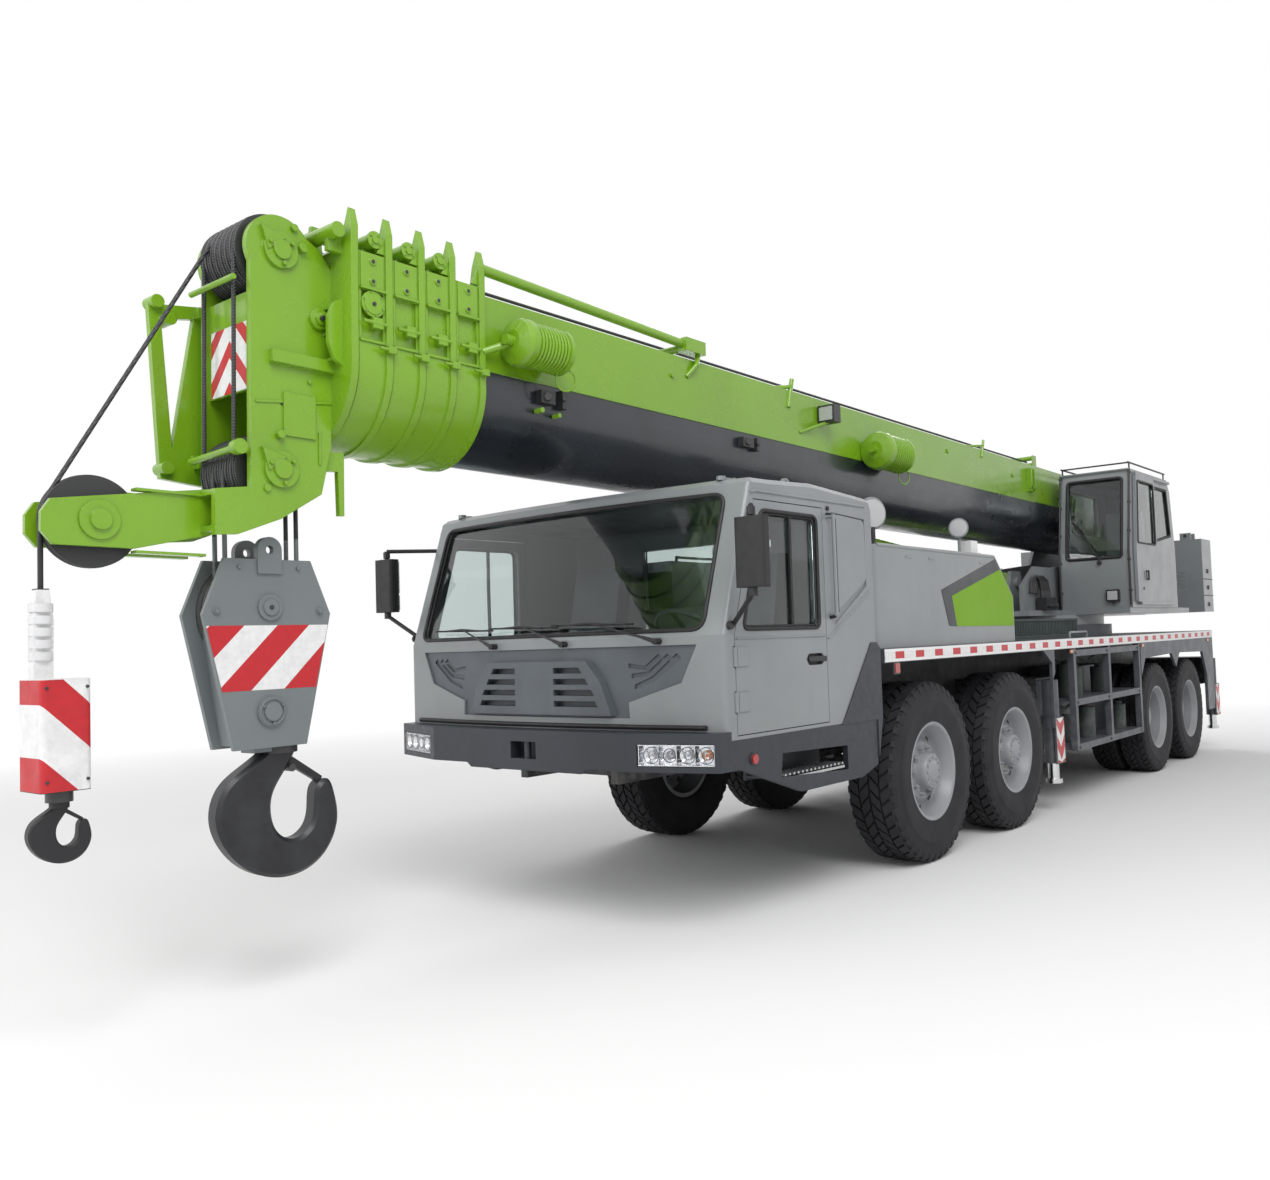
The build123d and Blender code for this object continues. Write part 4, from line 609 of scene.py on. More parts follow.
# finish: maker, the material's name, colour, and the maker's other settings
MAKERS = {
    "boom": (boom_paint,),
    "green": (paint, "green_paint", "boom_green", 0.28, 0.5, {"grime": 0.0}),
    "silver": (paint, "cab_silver_paint", "cab_silver", 0.34, 0.35),
    "deck": (paint, "deck_grey_paint", "deck_grey", 0.45, 0.1),
    "black": (paint, "chassis_black_paint", "chassis_black", 0.5, 0.05, {"grime": 0.6}),
    "rim": (paint, "rim_paint", "rim_silver", 0.4, 0.1, {"grime": 0.5}),
    "hook": (paint, "hook_paint", "hook_grey", 0.42, 0.1, {"grime": 0.0}),
    "decal": (paint, "green_panel", "boom_green", 0.62, 0.0, {"edge": 0.001}),
    "white": (paint, "white_paint", "safety_white", 0.4, 0.1),
    "red_plate": (paint, "red_plate", "safety_red", 0.35, 0.2, {"grime": 0.1}),
    "dark_steel": (paint, "dark_steel_paint", (0.03, 0.03, 0.032), 0.4, 0.1),
    "chassis": (paint, "fitting_black", (0.016, 0.016, 0.018), 0.45, 0.05, {"grime": 0.2}),
    "white_wrap": (paint, "white_wrap", (0.66, 0.66, 0.67), 0.6, 0.0, {"grime": 0.0}),
    "mesh_dark": (paint, "mesh_dark", (0.030, 0.045, 0.042), 0.6, 0.0, {"grime": 0.3}),
    "badge_grey": (paint, "badge_grey", (0.026, 0.028, 0.032), 0.4, 0.1),
    "mask": (moulded, "mask_plastic", "mask_grey", 0.42),
    "bumper": (moulded, "bumper_paint", "bumper_grey", 0.42),
    "seal": (moulded, "seal_rubber", (0.010, 0.010, 0.011), 0.55),
    "rubber": (rubber,),
    "chrome": (metal, "plated_rod", (0.75, 0.75, 0.76), 0.15),
    "mirror": (metal, "mirror_glass", (0.85, 0.86, 0.88), 0.12),
    "tread_plate": (metal, "tread_plate", (0.55, 0.56, 0.57), 0.35),
    "glass": (window_glass,),
    "clear": (clear_cover,),
    "lens": (fluted_lens, "lamp_glass", (0.52, 0.53, 0.54)),
    "amber": (fluted_lens, "amber_lens", (0.60, 0.16, 0.01)),
    "red_lens": (fluted_lens, "red_lens", (0.42, 0.01, 0.01)),
    "rope": (wire_rope,),
    "hook_block": (hook_block,),
    "aux_block": (aux_block,),
    # direction, period and offset of the bands, mirrored or not, share of red
    "hook_stripes": (banded, "hook_stripes", (1.0, 0.0, 1.0), 0.335, 0.10),
    "chevron": (banded, "chevron", (0.0, 1.05, 1.0), 0.200, 0.035, True, 0.58),
    "tape": (banded, "deck_tape", (1.0, 0.0, 0.0), 0.300, 0.05, False, 0.57),
}

# start of a node's name, its finish
NODE_FINISHES = (
    ("boom_", "boom"),
    ("head_sheaves", "dark_steel"),
    ("hoist_winches", "dark_steel"),
    ("luff_barrel", "green"),
    ("luff_rod", "chrome"),
    ("tyre_", "rubber"),
    ("rim_", "rim"),
    ("knuckle_", "black"),
    ("axle_beams", "black"),
    ("chassis_frame", "black"),
    ("engine_block", "black"),
    ("carrier_deck", "deck"),
    ("side_tanks", "deck"),
    ("outrigger_beam", "deck"),
    ("outrigger_jack", "chrome"),
    ("cab_shell", "silver"),
    ("cab_door", "silver"),
    ("engine_hood", "silver"),
    ("operator_cab_shell", "silver"),
    ("operator_cab_door", "silver"),
    ("turntable", "silver"),
    ("counterweight", "silver"),
    ("cab_mask", "mask"),
    ("front_bumper", "bumper"),
    ("cab_mirrors", "seal"),
    ("cab_interior", "mask"),
    ("cab_glass", "glass"),
    ("operator_cab_glass", "glass"),
    ("head_lamps", "glass"),
    ("main_hook_block", "hook_block"),
    ("aux_hook", "aux_block"),
)


# doors with panes of glass, and the most that a pane measures across
PANED = ("cab_door_left", "cab_door_right", "operator_cab_door")
PANE_THICK = 0.012


def glaze(mesh):
    """Gives glass to the panes of a door: its loose solids that are thin across the crane."""
    mesh.materials.append(material("glass"))
    places = [tuple(round(value, 5) for value in vertex.co) for vertex in mesh.vertices]
    touching = {}
    for face in mesh.polygons:
        for index in face.vertices:
            touching.setdefault(places[index], []).append(face.index)
    seen = set()
    for first in mesh.polygons:
        if first.index in seen:
            continue
        seen.add(first.index)
        solid = [first.index]
        for number in solid:
            for index in mesh.polygons[number].vertices:
                for other in touching[places[index]]:
                    if other not in seen:
                        seen.add(other)
                        solid.append(other)
        across = [places[index][1] for number in solid for index in mesh.polygons[number].vertices]
        if max(across) - min(across) < PANE_THICK:
            for number in solid:
                mesh.polygons[number].material_index = 1


class CRANE_OT_finishes(bpy.types.Operator):
    """Gives every CAD node its finish, and the panes in the doors their glass."""

    bl_idname = "crane.finishes"
    bl_label = "Finishes"

    def execute(self, context):
        for name, node in NODES.items():
            found = [finish for prefix, finish in NODE_FINISHES if name.startswith(prefix)]
            if not found:
                raise RuntimeError(f"{name} has no finish")
            node.data.materials.clear()
            node.data.materials.append(material(found[0]))
        for name in PANED:
            glaze(NODES[name].data)
        return {"FINISHED"}


# ---------------------------------------------------------------- wheels
STEER_X = {"1": 1.749, "2": 0.231}
DRIVE_X = {"3": -3.873, "4": -5.245}
TYRE_OUTER_Y = 1.345
TWIN_GAP = 0.030
TREAD_PITCHES = 42
# steered or not: radius, width
TYRES = {True: (0.650, 0.385), False: (0.610, 0.300)}
# share of the width from the middle, share of the way from bead to tread
TYRE_WALL = (
    (-0.42, 0.0),
    (-0.455, 0.06),
    (-0.455, 0.10),
    (-0.485, 0.30),
    (-0.497, 0.50),
    (-0.497, 0.56),
    (-0.492, 0.57),
    (-0.480, 0.76),
    (-0.465, 0.85),
    (-0.440, 0.92),
    (-0.40, 0.935),
)
# tread row: middle and width as shares of the tyre's width, slant, turn as a share of the pitch
TREAD_ROWS = (
    (-0.315, 0.195, 0.55, 0.0),
    (-0.105, 0.185, -0.75, 0.5),
    (0.105, 0.185, 0.75, 0.0),
    (0.315, 0.195, -0.55, 0.5),
)
BEAD_RADIUS = 0.335
# section of a shoulder lug: share of the width from the middle, depth below the tread
LUG_OUTSIDE = ((0.400, 0.004), (0.452, 0.018), (0.484, 0.062))
LUG_INSIDE = ((0.430, 0.034), (0.470, 0.068))
BLOCK_FACES = ((0, 1, 2, 3), (4, 5, 6, 7), (0, 1, 5, 4), (1, 2, 6, 5), (2, 3, 7, 6), (3, 0, 4, 7))
LUG_FACES = (
    (0, 1, 3, 2), (2, 3, 5, 4), (0, 2, 8, 6), (2, 4, 10, 8), (1, 3, 9, 7),
    (3, 5, 11, 9), (4, 5, 11, 10), (0, 1, 7, 6), (6, 7, 9, 8), (8, 9, 11, 10),
)


def tyre_mesh(piece, x, radius, width, middle):
    """Carcass, rings on the walls, slanted tread blocks and shoulder lugs of one tyre."""
    depth = bpy.context.scene.crane_sizes.tread
    wall = [(share * width, BEAD_RADIUS + part * (radius - BEAD_RADIUS)) for share, part in TYRE_WALL]
    outline = wall + [(-along, ring) for along, ring in reversed(wall)]
    piece.lathe(outline, (x, middle, radius), (0, 1, 0), 72)

    def at(angle, along, ring):
        return Vector((x + ring * sin(angle), middle + along * width, radius + ring * cos(angle)))

    pitch = 2 * pi / TREAD_PITCHES
    base = radius - depth - 0.008
    for row, span, slant, turn in TREAD_ROWS:
        for number in range(TREAD_PITCHES):
            middle_angle = pitch * (number + turn)
            corners = []
            for ring, shrink in ((base, 1.0), (radius - 0.0005, 0.93)):
                for across, ahead in ((-0.5, -0.42), (0.5, -0.42), (0.5, 0.42), (-0.5, 0.42)):
                    angle = middle_angle + pitch * shrink * (ahead + slant * across)
                    edge = row + span * shrink * across
                    drop = 0.006 if abs(edge) > 0.39 else 0.0
                    corners.append(at(angle, edge, ring - drop))
            piece.solid(corners, BLOCK_FACES)
    # lugs that run from the tread down the shoulders
    for side in (-1, 1):
        for number in range(TREAD_PITCHES):
            middle_angle = pitch * (number + (0.78 if side > 0 else 0.28))
            corners = []
            for along, drop in (*LUG_OUTSIDE, (0.395, depth + 0.012), *LUG_INSIDE):
                for ahead in (-0.24, 0.24):
                    corners.append(at(middle_angle + pitch * ahead, side * along, radius - drop))
            piece.solid(corners, LUG_FACES)


class CRANE_OT_tyres(bpy.types.Operator):
    """Tyres with moulded tread, shoulder lugs and ringed walls."""

    bl_idname = "crane.tyres"
    bl_label = "Tyres"

    def execute(self, context):
        for axle, x in (*STEER_X.items(), *DRIVE_X.items()):
            steered = axle in STEER_X
            radius, width = TYRES[steered]
            for name, side in SIDES:
                body = f"wheel_{axle}_{name}"
                piece = Piece(f"tread_{axle}_{name}", body, "rubber")
                middles = [side * (TYRE_OUTER_Y - width / 2)]
                if not steered:
                    middles.append(side * (TYRE_OUTER_Y - TWIN_GAP - 1.5 * width))
                for middle in middles:
                    tyre_mesh(piece, x, radius, width, middle)
                piece.done(28, [f"tyre_{axle}_{name}"])
        return {"FINISHED"}


# rim outlines: how far out from the rim's edge, radius
STEER_RIM = (
    (-0.330, 0.300), (-0.330, 0.334), (-0.014, 0.334), (-0.014, 0.353), (-0.006, 0.357),
    (0.0, 0.353), (0.0, 0.338), (-0.010, 0.326), (-0.046, 0.318), (-0.060, 0.304),
    (-0.112, 0.298), (-0.126, 0.288), (-0.130, 0.262), (-0.118, 0.236), (-0.098, 0.214),
    (-0.090, 0.205), (-0.090, 0.140), (-0.084, 0.134), (-0.050, 0.128), (-0.016, 0.126),
    (-0.006, 0.118), (-0.006, 0.076), (0.002, 0.070), (0.006, 0.056), (0.006, 0.0),
)
DRIVE_RIM = (
    (-0.600, 0.300), (-0.600, 0.334), (-0.014, 0.334), (-0.014, 0.353), (-0.006, 0.357),
    (0.0, 0.353), (0.0, 0.338), (-0.010, 0.326), (-0.046, 0.318), (-0.060, 0.304),
    (-0.200, 0.296), (-0.262, 0.280), (-0.284, 0.250), (-0.300, 0.205), (-0.300, 0.140),
    (-0.290, 0.130), (-0.120, 0.122), (-0.100, 0.108), (-0.096, 0.0),
)


# steered or not, out from the rim's edge: disc, hub cap, web with the hand hole openings, where their
# painted shade sits
RIM_FACES = {True: (-0.090, -0.006, -0.132), False: (-0.300, -0.096, -0.272)}


class CRANE_OT_rims(bpy.types.Operator):
    """Rims with rolled flanges, dished discs, wheel nuts and hub bolts."""

    bl_idname = "crane.rims"
    bl_label = "Rims"

    def execute(self, context):
        for axle, x in (*STEER_X.items(), *DRIVE_X.items()):
            outline = STEER_RIM if axle in STEER_X else DRIVE_RIM
            disc, hub, web = RIM_FACES[axle in STEER_X]
            for name, side in SIDES:
                centre = Vector((x, side * (TYRE_OUTER_Y - 0.016), TYRES[axle in STEER_X][0]))
                out = side * Y
                piece = Piece(f"rim_{axle}_{name}_dish", f"wheel_{axle}_{name}", "rim")
                piece.lathe(outline, centre, out, 64)

                # wheel studs with their nuts and washers, then the hub's bolts
                face = centre + disc * out
                for reach, size, sides in ((0.005, 0.024, 12), (0.026, 0.0175, 6), (0.040, 0.010, 8)):
                    piece.bolts(face, (Z, X), 0.172, around(10, 0.3), out * reach, size, sides)
                piece.bolts(centre + hub * out, (Z, X), 0.098, around(12), out * 0.010, 0.009, 6)
                # dark discs of painted shade in the hand hole openings between the nuts, and the valve stem
                piece.use("dark_steel")
                shaded_hole_angles = around(10, 0.3 + pi / 10)
                piece.bolts(centre + web * out, (Z, X), 0.262, shaded_hole_angles, out * 0.005, 0.026, 16)
                piece.bolts(centre + disc * out, (Z, X), 0.285, (2.2,), out * 0.055, 0.005, 8)
                piece.done(40, [f"rim_{axle}_{name}"])
        return {"FINISHED"}


# ---------------------------------------------------------------- boom and hooks
# in the boom's own frame, x along it from its pivot
COLLARS = ("boom_base", "boom_section_2", "boom_section_3", "boom_section_4")
COLLAR_X = 10.520
COLLAR_STEP = 0.200
COLLAR_MIDDLE = 0.115
COLLAR_Y = 0.398
HORN_Z = 0.718
BASE_REAR_X = 2.500
BASE_Y = 0.370
BORDER_Z = 0.200
UPPER_PIN = Vector((11.630, 0, 0.591))
LOWER_PIN = Vector((11.630, 0, -0.465))
ARM_PIN = Vector((12.386, 0, -0.749))
HEAD_SHEAVE = 0.190
ARM_SHEAVE = 0.200
GROOVE_DEPTH = 0.018
GROOVES = 7
GROOVE_STEP = 0.046
CHEEK_Y = 0.230
FRONT_PANEL_X = 11.7555
GUARD_X = 11.845
ROPE_GUIDE_X = 1.900
ROPE_GUIDE_Z = 0.763
# plates on a collar's side: from and to along the collar, up from and to, inner and outer face
COLLAR_PLATES = (
    (0.048, 0.182, 0.468, 0.640, 0.000, 0.006),
    (0.042, 0.188, 0.452, 0.464, 0.000, 0.020),
    (0.042, 0.188, 0.192, 0.206, 0.000, 0.009),
    (0.070, 0.128, 0.262, 0.316, 0.000, 0.030),
    (-0.004, 0.046, 0.150, 0.186, 0.013, 0.040),
)
# locking pins: from and to along the collar, out, height, radius
COLLAR_PINS = ((0.045, 0.178, 0.022, 0.289, 0.010), (-0.006, 0.090, 0.030, 0.168, 0.009))


class CRANE_OT_collars(bpy.types.Operator):
    """Covers, keepers, clamps and roller ends on the boom's collars."""

    bl_idname = "crane.collars"
    bl_label = "Boom collars"

    def execute(self, context):
        for number, body in enumerate(COLLARS):
            x = COLLAR_X + COLLAR_STEP * number
            piece = Piece(f"collar_fittings_{number + 1}", body, "green", place=BOOM)
            for side in (1, -1):
                y = side * COLLAR_Y
                out = side * Y
                for x0, x1, z0, z1, inner, outer in COLLAR_PLATES:
                    piece.box((x + x0, y + side * inner, z0), (x + x1, y + side * outer, z1))
                for x0, x1, reach, z, radius in COLLAR_PINS:
                    piece.stud((x + x0, y + side * reach, z), (x1 - x0) * X, radius)
                for z in (0.500, 0.600):
                    bolt = (x + COLLAR_MIDDLE, y, z)
                    piece.stud(bolt, out * 0.013, 0.019, 16)
                    piece.use("dark_steel").stud(bolt, out * 0.015, 0.011, 6).use("green")
                # small stiffener under the horn
                outline = ((x + 0.040, 0.655), (x + 0.040, 0.740), (x + 0.085, 0.655))
                piece.side(outline, y, y - side * 0.012)
                if number:
                    end = Vector((x + 0.095, side * 0.392, HORN_Z))
                    piece.stud(end, out * 0.010, 0.044, 24)
                    piece.stud(end, out * 0.018, 0.020, 12)
                    piece.bolts(end, (X, Z), 0.031, around(4, 0.6), out * 0.016, 0.006, 6)
            piece.done(30)
        # round cover with its pin on the last collar
        cover = Piece("collar_cover", COLLARS[-1], "green", place=BOOM)
        for side in (1, -1):
            foot = Vector((COLLAR_X + 3 * COLLAR_STEP + COLLAR_MIDDLE, side * COLLAR_Y, 0.385))
            out = side * Y
            cover.stud(foot, out * 0.012, 0.066, 28)
            cover.stud(foot, out * 0.016, 0.052, 28)
            cover.use("dark_steel").stud(foot, out * 0.024, 0.010, 12).use("green")
            cover.bolts(foot, (X, Z), 0.058, around(6, 0.3), out * 0.018, 0.005, 6)
        cover.done(30)
        return {"FINISHED"}


# small rods on the base section: start, end, radius
BASE_RODS = (
    ((10.120, 0.370, 0.030), (10.120, 0.430, 0.030), 0.016),
    ((9.980, 0.370, 0.020), (9.980, 0.425, 0.020), 0.014),
    ((8.880, 0.370, 0.470), (8.880, 0.384, 0.470), 0.016),
    ((4.700, 0.370, 0.500), (4.700, 0.384, 0.500), 0.022),
    ((3.100, 0.370, 0.440), (3.100, 0.384, 0.440), 0.022),
    ((3.900, 0.372, 0.540), (3.850, 0.376, 0.720), 0.014),
    ((3.870, 0.376, 0.660), (4.080, 0.300, 0.640), 0.012),
)
# bracket plates behind the second reel: low corner, high corner
BASE_PLATES = (
    ((2.680, 0.370, 0.300), (2.710, 0.430, 0.560)),
    ((2.580, 0.370, 0.300), (2.610, 0.430, 0.560)),
    ((2.600, 0.400, 0.330), (2.720, 0.430, 0.350)),
)
# dark sockets and cable clamps along the border: x, z, length, height
BASE_SOCKETS = (
    (10.060, 0.115, 0.110, 0.075),
    (9.930, 0.120, 0.035, 0.110),
    (8.080, 0.120, 0.130, 0.070),
    (7.960, 0.120, 0.035, 0.095),
)
# cable reels: front face, height, radius, length
REELS = ((10.410, 0.358, 0.135, 0.370), (6.420, 0.268, 0.160, 0.450))
REEL_TURNS = 9


class CRANE_OT_boom_side(bpy.types.Operator):
    """Reel rings and cables, sockets, lamp glass, brackets and seams on the base section."""

    bl_idname = "crane.boom_side"
    bl_label = "Boom side"

    def execute(self, context):
        piece = Piece("boom_fittings", "boom_base", "green", place=BOOM)
        for start, end, radius in BASE_RODS:
            piece.rod(start, end, radius)
        for low, high in BASE_PLATES:
            piece.box(low, high)
        for reel in REELS:
            self.reel(piece, *reel)
        # rope guide on the boom's back: two posts and two rollers
        for side in (1, -1):
            low = (ROPE_GUIDE_X - 0.050, side * 0.150, 0.610)
            piece.box(low, (ROPE_GUIDE_X + 0.050, side * 0.166, 0.830))
        for z in (ROPE_GUIDE_Z - 0.041, ROPE_GUIDE_Z + 0.041):
            piece.rod((ROPE_GUIDE_X, -0.150, z), (ROPE_GUIDE_X, 0.150, z), 0.028, 16)
        # border moulding and weld seam
        for y in (BASE_Y, -BASE_Y - 0.006):
            piece.box((BASE_REAR_X, y, BORDER_Z - 0.004), (COLLAR_X, y + 0.006, BORDER_Z + 0.004))
        piece.rod((BASE_REAR_X, -0.300, 0.622), (COLLAR_X, -0.300, 0.622), 0.010, 8)
        piece.use("dark_steel")
        for x, z, long, tall in BASE_SOCKETS:
            low = (x - long / 2, BASE_Y - 0.005, z - tall / 2)
            piece.box(low, (x + long / 2, BASE_Y + 0.048, z + tall / 2))
            piece.rod((x, 0.41, z), (x + 0.02, 0.436, z), min(long, tall) * 0.32, 16)
        # work lamp: black case and clear front
        piece.box((6.970, 0.378, 0.412), (7.068, 0.532, 0.553))
        piece.use("lens").box((7.066, 0.396, 0.430), (7.074, 0.514, 0.536))
        piece.done(30)
        return {"FINISHED"}

    def reel(self, piece, x, z, radius, length):
        """Cable turns, end bolts, hubs and guide eye of one reel."""
        y = BASE_Y + 0.95 * radius
        rear = x - length
        for number in range(REEL_TURNS):
            turn_x = x - 0.128 - number * (length - 0.175) / (REEL_TURNS - 1)
            piece.ring((turn_x, y, z), X, radius * 0.872, 0.011, 36, 6)
        piece.bolts((x - 0.022, y, z), (Y, Z), radius * 0.6, around(6, 0.2), 0.014 * X, 0.008, 6)
        piece.rod((x - 0.010, y, z), (x + 0.050, y, z), 0.030, 16)
        piece.rod((rear + 0.010, y, z), (rear - 0.050, y, z), 0.034, 16)
        piece.ring((rear - 0.020, y + 0.02, z - radius * 1.15), (0.3, 1, 0), 0.062, 0.006, 24, 6)
        piece.rod((rear, y, z - radius * 0.4), (rear - 0.015, y, z - radius * 0.8), 0.009, 8)


# bosses and bolts on the head's cheeks: x, z, radius, reach
CHEEK_BOSSES = (
    (11.430, 0.300, 0.052, 0.022),
    (11.430, 0.300, 0.030, 0.034),
    (11.420, 0.310, 0.020, 0.050),
    (11.560, 0.720, 0.017, 0.020),
    (11.520, 0.630, 0.022, 0.030),
    (11.700, -0.560, 0.018, 0.012),
    (11.640, -0.300, 0.020, 0.030),
    (11.480, -0.020, 0.010, 0.012),
)
CHEEK_SEAM = ((11.36, -0.100), (11.76, -0.150), (11.76, -0.162), (11.36, -0.112))


class CRANE_OT_head(bpy.types.Operator):
    """Rope wraps, falls, chevron panel, guards and bolts at the boom head."""

    bl_idname = "crane.head"
    bl_label = "Boom head"

    def execute(self, context):
        rope = context.scene.crane_sizes.rope / 2
        ropes = Piece("head_ropes", "boom_head", "rope", place=BOOM)
        lay = HEAD_SHEAVE - GROOVE_DEPTH + rope
        arm_lay = ARM_SHEAVE - GROOVE_DEPTH + rope
        for pin in (UPPER_PIN, LOWER_PIN):
            for number in range(GROOVES):
                ropes.ring(pin + (number - (GROOVES - 1) / 2) * GROOVE_STEP * Y, Y, lay, rope)
        ropes.ring(ARM_PIN, Y, arm_lay, rope)
        # the single line runs from the upper sheaves over the arm sheave
        along = (ARM_PIN - UPPER_PIN).normalized()
        out = Vector((-along.z, 0, along.x))
        ropes.rod(UPPER_PIN - 2 * GROOVE_STEP * Y + out * lay, ARM_PIN + out * arm_lay, rope)
        for y in (-3 * GROOVE_STEP, 3 * GROOVE_STEP):
            ropes.rod(UPPER_PIN + lay * X + y * Y, LOWER_PIN + lay * X + y * Y, rope)
            top = (11.500, y / 2, UPPER_PIN.z + lay - 0.010)
            ropes.rod(top, (ROPE_GUIDE_X, y / 2, ROPE_GUIDE_Z), rope)
        ropes.done(40)

        piece = Piece("head_fittings", "boom_head", "green", place=BOOM)
        for side in (1, -1):
            out = side * Y
            face = side * CHEEK_Y
            for x, z, radius, reach in CHEEK_BOSSES:
                piece.stud((x, face, z), out * reach, radius, 20)
            for pin in (UPPER_PIN, LOWER_PIN):
                circle = around(3, 0.4)
                piece.bolts(pin + (face + side * 0.014) * Y, (X, Z), 0.066, circle, out * 0.022, 0.011, 6)
            piece.side(CHEEK_SEAM, face, face + side * 0.006)
            piece.box((11.420, face, -0.260), (11.432, face + side * 0.008, -0.420))
            piece.use("dark_steel")
            piece.stud((11.620, face, -0.145), out * 0.004, 0.013, 16)
            piece.stud((11.430, face, 0.300), out * 0.052, 0.012, 12)
            # flanges along the arm and the cap on its tip
            piece.use("green")
            for z, rise in ((-0.610, 0.012), (-0.872, -0.012)):
                piece.box((11.930, side * 0.058, z), (12.240, side * 0.110, z + rise))
            for reach, radius, count in ((0.014, 0.085, 24), (0.030, 0.045, 16)):
                piece.stud(ARM_PIN + side * 0.094 * Y, out * reach, radius, count)
            piece.box((11.700, side * 0.180, -0.372), (11.850, side * 0.195, -0.400))
        # rope guards in front of the sheaves
        piece.rod((GUARD_X, -0.200, -0.400), (GUARD_X, 0.235, -0.385), 0.017)
        piece.rod((GUARD_X, 0.215, -0.386), (GUARD_X, 0.262, -0.384), 0.036, 16)
        piece.rod((GUARD_X, -0.200, 0.420), (GUARD_X, 0.200, 0.420), 0.014)
        # pin bosses on the right-hand jib bracket
        for x, z in ((11.980, 0.372), (11.920, 0.300), (11.930, -0.430)):
            piece.rod((x, -0.345, z), (x, -0.250, z), 0.032, 16)
        piece.done(35)

        panel = Piece("head_panel_upper", "boom_head", "chevron", place=BOOM)
        panel.box((FRONT_PANEL_X, -0.172, -0.085), (FRONT_PANEL_X + 0.003, 0.172, 0.240))
        panel.done(30)
        return {"FINISHED"}


MAIN_HOOK_X = 6.185
MAIN_FACE_Y = 0.110
MAIN_SHEAVE_Z = 1.860
MAIN_PIN_Z = 1.880
MAIN_BOSS_Z = 1.386
WARNING_PANEL = ((-0.310, 1.795), (0.310, 1.795), (0.238, 1.490), (-0.238, 1.490))
# studs on the block's plates: x from the middle, z, radius, reach
BLOCK_STUDS = (
    (0.0, MAIN_PIN_Z, 0.040, 0.022),
    (-0.262, 1.862, 0.011, 0.018),
    (0.262, 1.862, 0.011, 0.018),
    (-0.150, 2.070, 0.009, 0.012),
    (0.150, 2.070, 0.009, 0.012),
)
# half section of a block sheave: place across, radius
BLOCK_SHEAVE = (
    (-0.024, 0.100), (-0.022, 0.262), (-0.008, 0.245), (0.008, 0.245), (0.022, 0.262), (0.024, 0.100)
)
SHEAVE_STEP = 0.056
FALL_X = 0.1833
AUX_HOOK_X = 7.1375
AUX_FACE_Y = 0.120


class CRANE_OT_hooks(bpy.types.Operator):
    """Warning panels, bolts, sheaves, latches and wedge socket of the two hooks."""

    bl_idname = "crane.hooks"
    bl_label = "Hooks"

    def execute(self, context):
        x = MAIN_HOOK_X
        panel = Piece("hook_warning", "main_hook", "hook_stripes")
        for side in (1, -1):
            outline = [(x + along, z) for along, z in WARNING_PANEL]
            panel.side(outline, side * MAIN_FACE_Y, side * (MAIN_FACE_Y + 0.0015))
        panel.done(30)
        piece = Piece("hook_fittings", "main_hook", "hook")
        for side in (1, -1):
            out = side * Y
            face = side * MAIN_FACE_Y
            for along, z, radius, reach in BLOCK_STUDS:
                piece.stud((x + along, face, z), out * reach, radius, 12)
            boss = Vector((x, face, MAIN_BOSS_Z))
            piece.ring(boss + out * 0.016, out, 0.060, 0.006, 32, 6)
            piece.bolts(boss + out * 0.020, (X, Z), 0.056, around(3, 0.5), out * 0.010, 0.007, 6)
            piece.use("dark_steel").stud((x, face, MAIN_PIN_Z), out * 0.024, 0.012, 12)
            piece.stud((x, face, MAIN_BOSS_Z + 0.056), out * 0.003, 0.007, 10)
            # pin of the latch
            piece.stud((x - 0.155, 0, 1.100), out * 0.030, 0.020, 12).use("hook")
        piece.use("dark_steel").rod((x - 0.096, 0, 1.180), (x - 0.096, 0, 1.215), 0.090, 24)
        for number in (-1, 0, 1):
            piece.lathe(BLOCK_SHEAVE, (x, number * SHEAVE_STEP, MAIN_SHEAVE_Z), Y, 40)
        piece.use("rope")
        for y in (-GROOVE_STEP, GROOVE_STEP):
            for fall in (-FALL_X, FALL_X):
                piece.rod((x + fall, y, 1.750), (x + fall, y, 2.100), 0.0112, 10)
        piece.done(35)

        x = AUX_HOOK_X
        small = Piece("aux_fittings", "aux_hook", "white_wrap")
        for z in (1.680, 1.730, 1.780, 1.830, 1.880):
            small.rod((x, 0, z - 0.018), (x, 0, z + 0.018), 0.046, 12)
        small.use("dark_steel").rod((x - 0.066, 0, 1.075), (x - 0.066, 0, 1.128), 0.052, 20)
        for side in (1, -1):
            for z in (1.170, 1.550):
                for along in (-0.130, 0.025):
                    small.stud((x + along, side * AUX_FACE_Y, z), side * 0.007 * Y, 0.007, 6)
        small.done(35)
        return {"FINISHED"}


# ---------------------------------------------------------------- carrier cab
HALF_WIDTH = 1.375
NOSE_X = 4.370
NOSE_BOW = 9.040
SCREEN_RAKE = 0.3237
COWL_Z = 1.680
DOOR_WINDOW = ((3.300, 1.710), (4.090, 1.710), (3.885, 2.385), (3.300, 2.385))
# wiper pivot and blade middle, places across the cab
WIPERS = ((-0.380, -0.730), (0.254, -0.130), (0.954, 0.450))
BLADE_HALF = 0.320
YOKES = (0.22, 0.78)
CLIPS = (0.08, 0.22, 0.36, 0.64, 0.78, 0.92)
LIP_Z = 1.172
ROOF_Z = 2.577


def on_screen(y, z, out=0.0):
    """A point on the windscreen's surface, moved forward by out."""
    bow = NOSE_BOW - (NOSE_BOW**2 - y * y) ** 0.5
    return Vector((NOSE_X - bow - SCREEN_RAKE * (z - COWL_Z) + out, y, z))


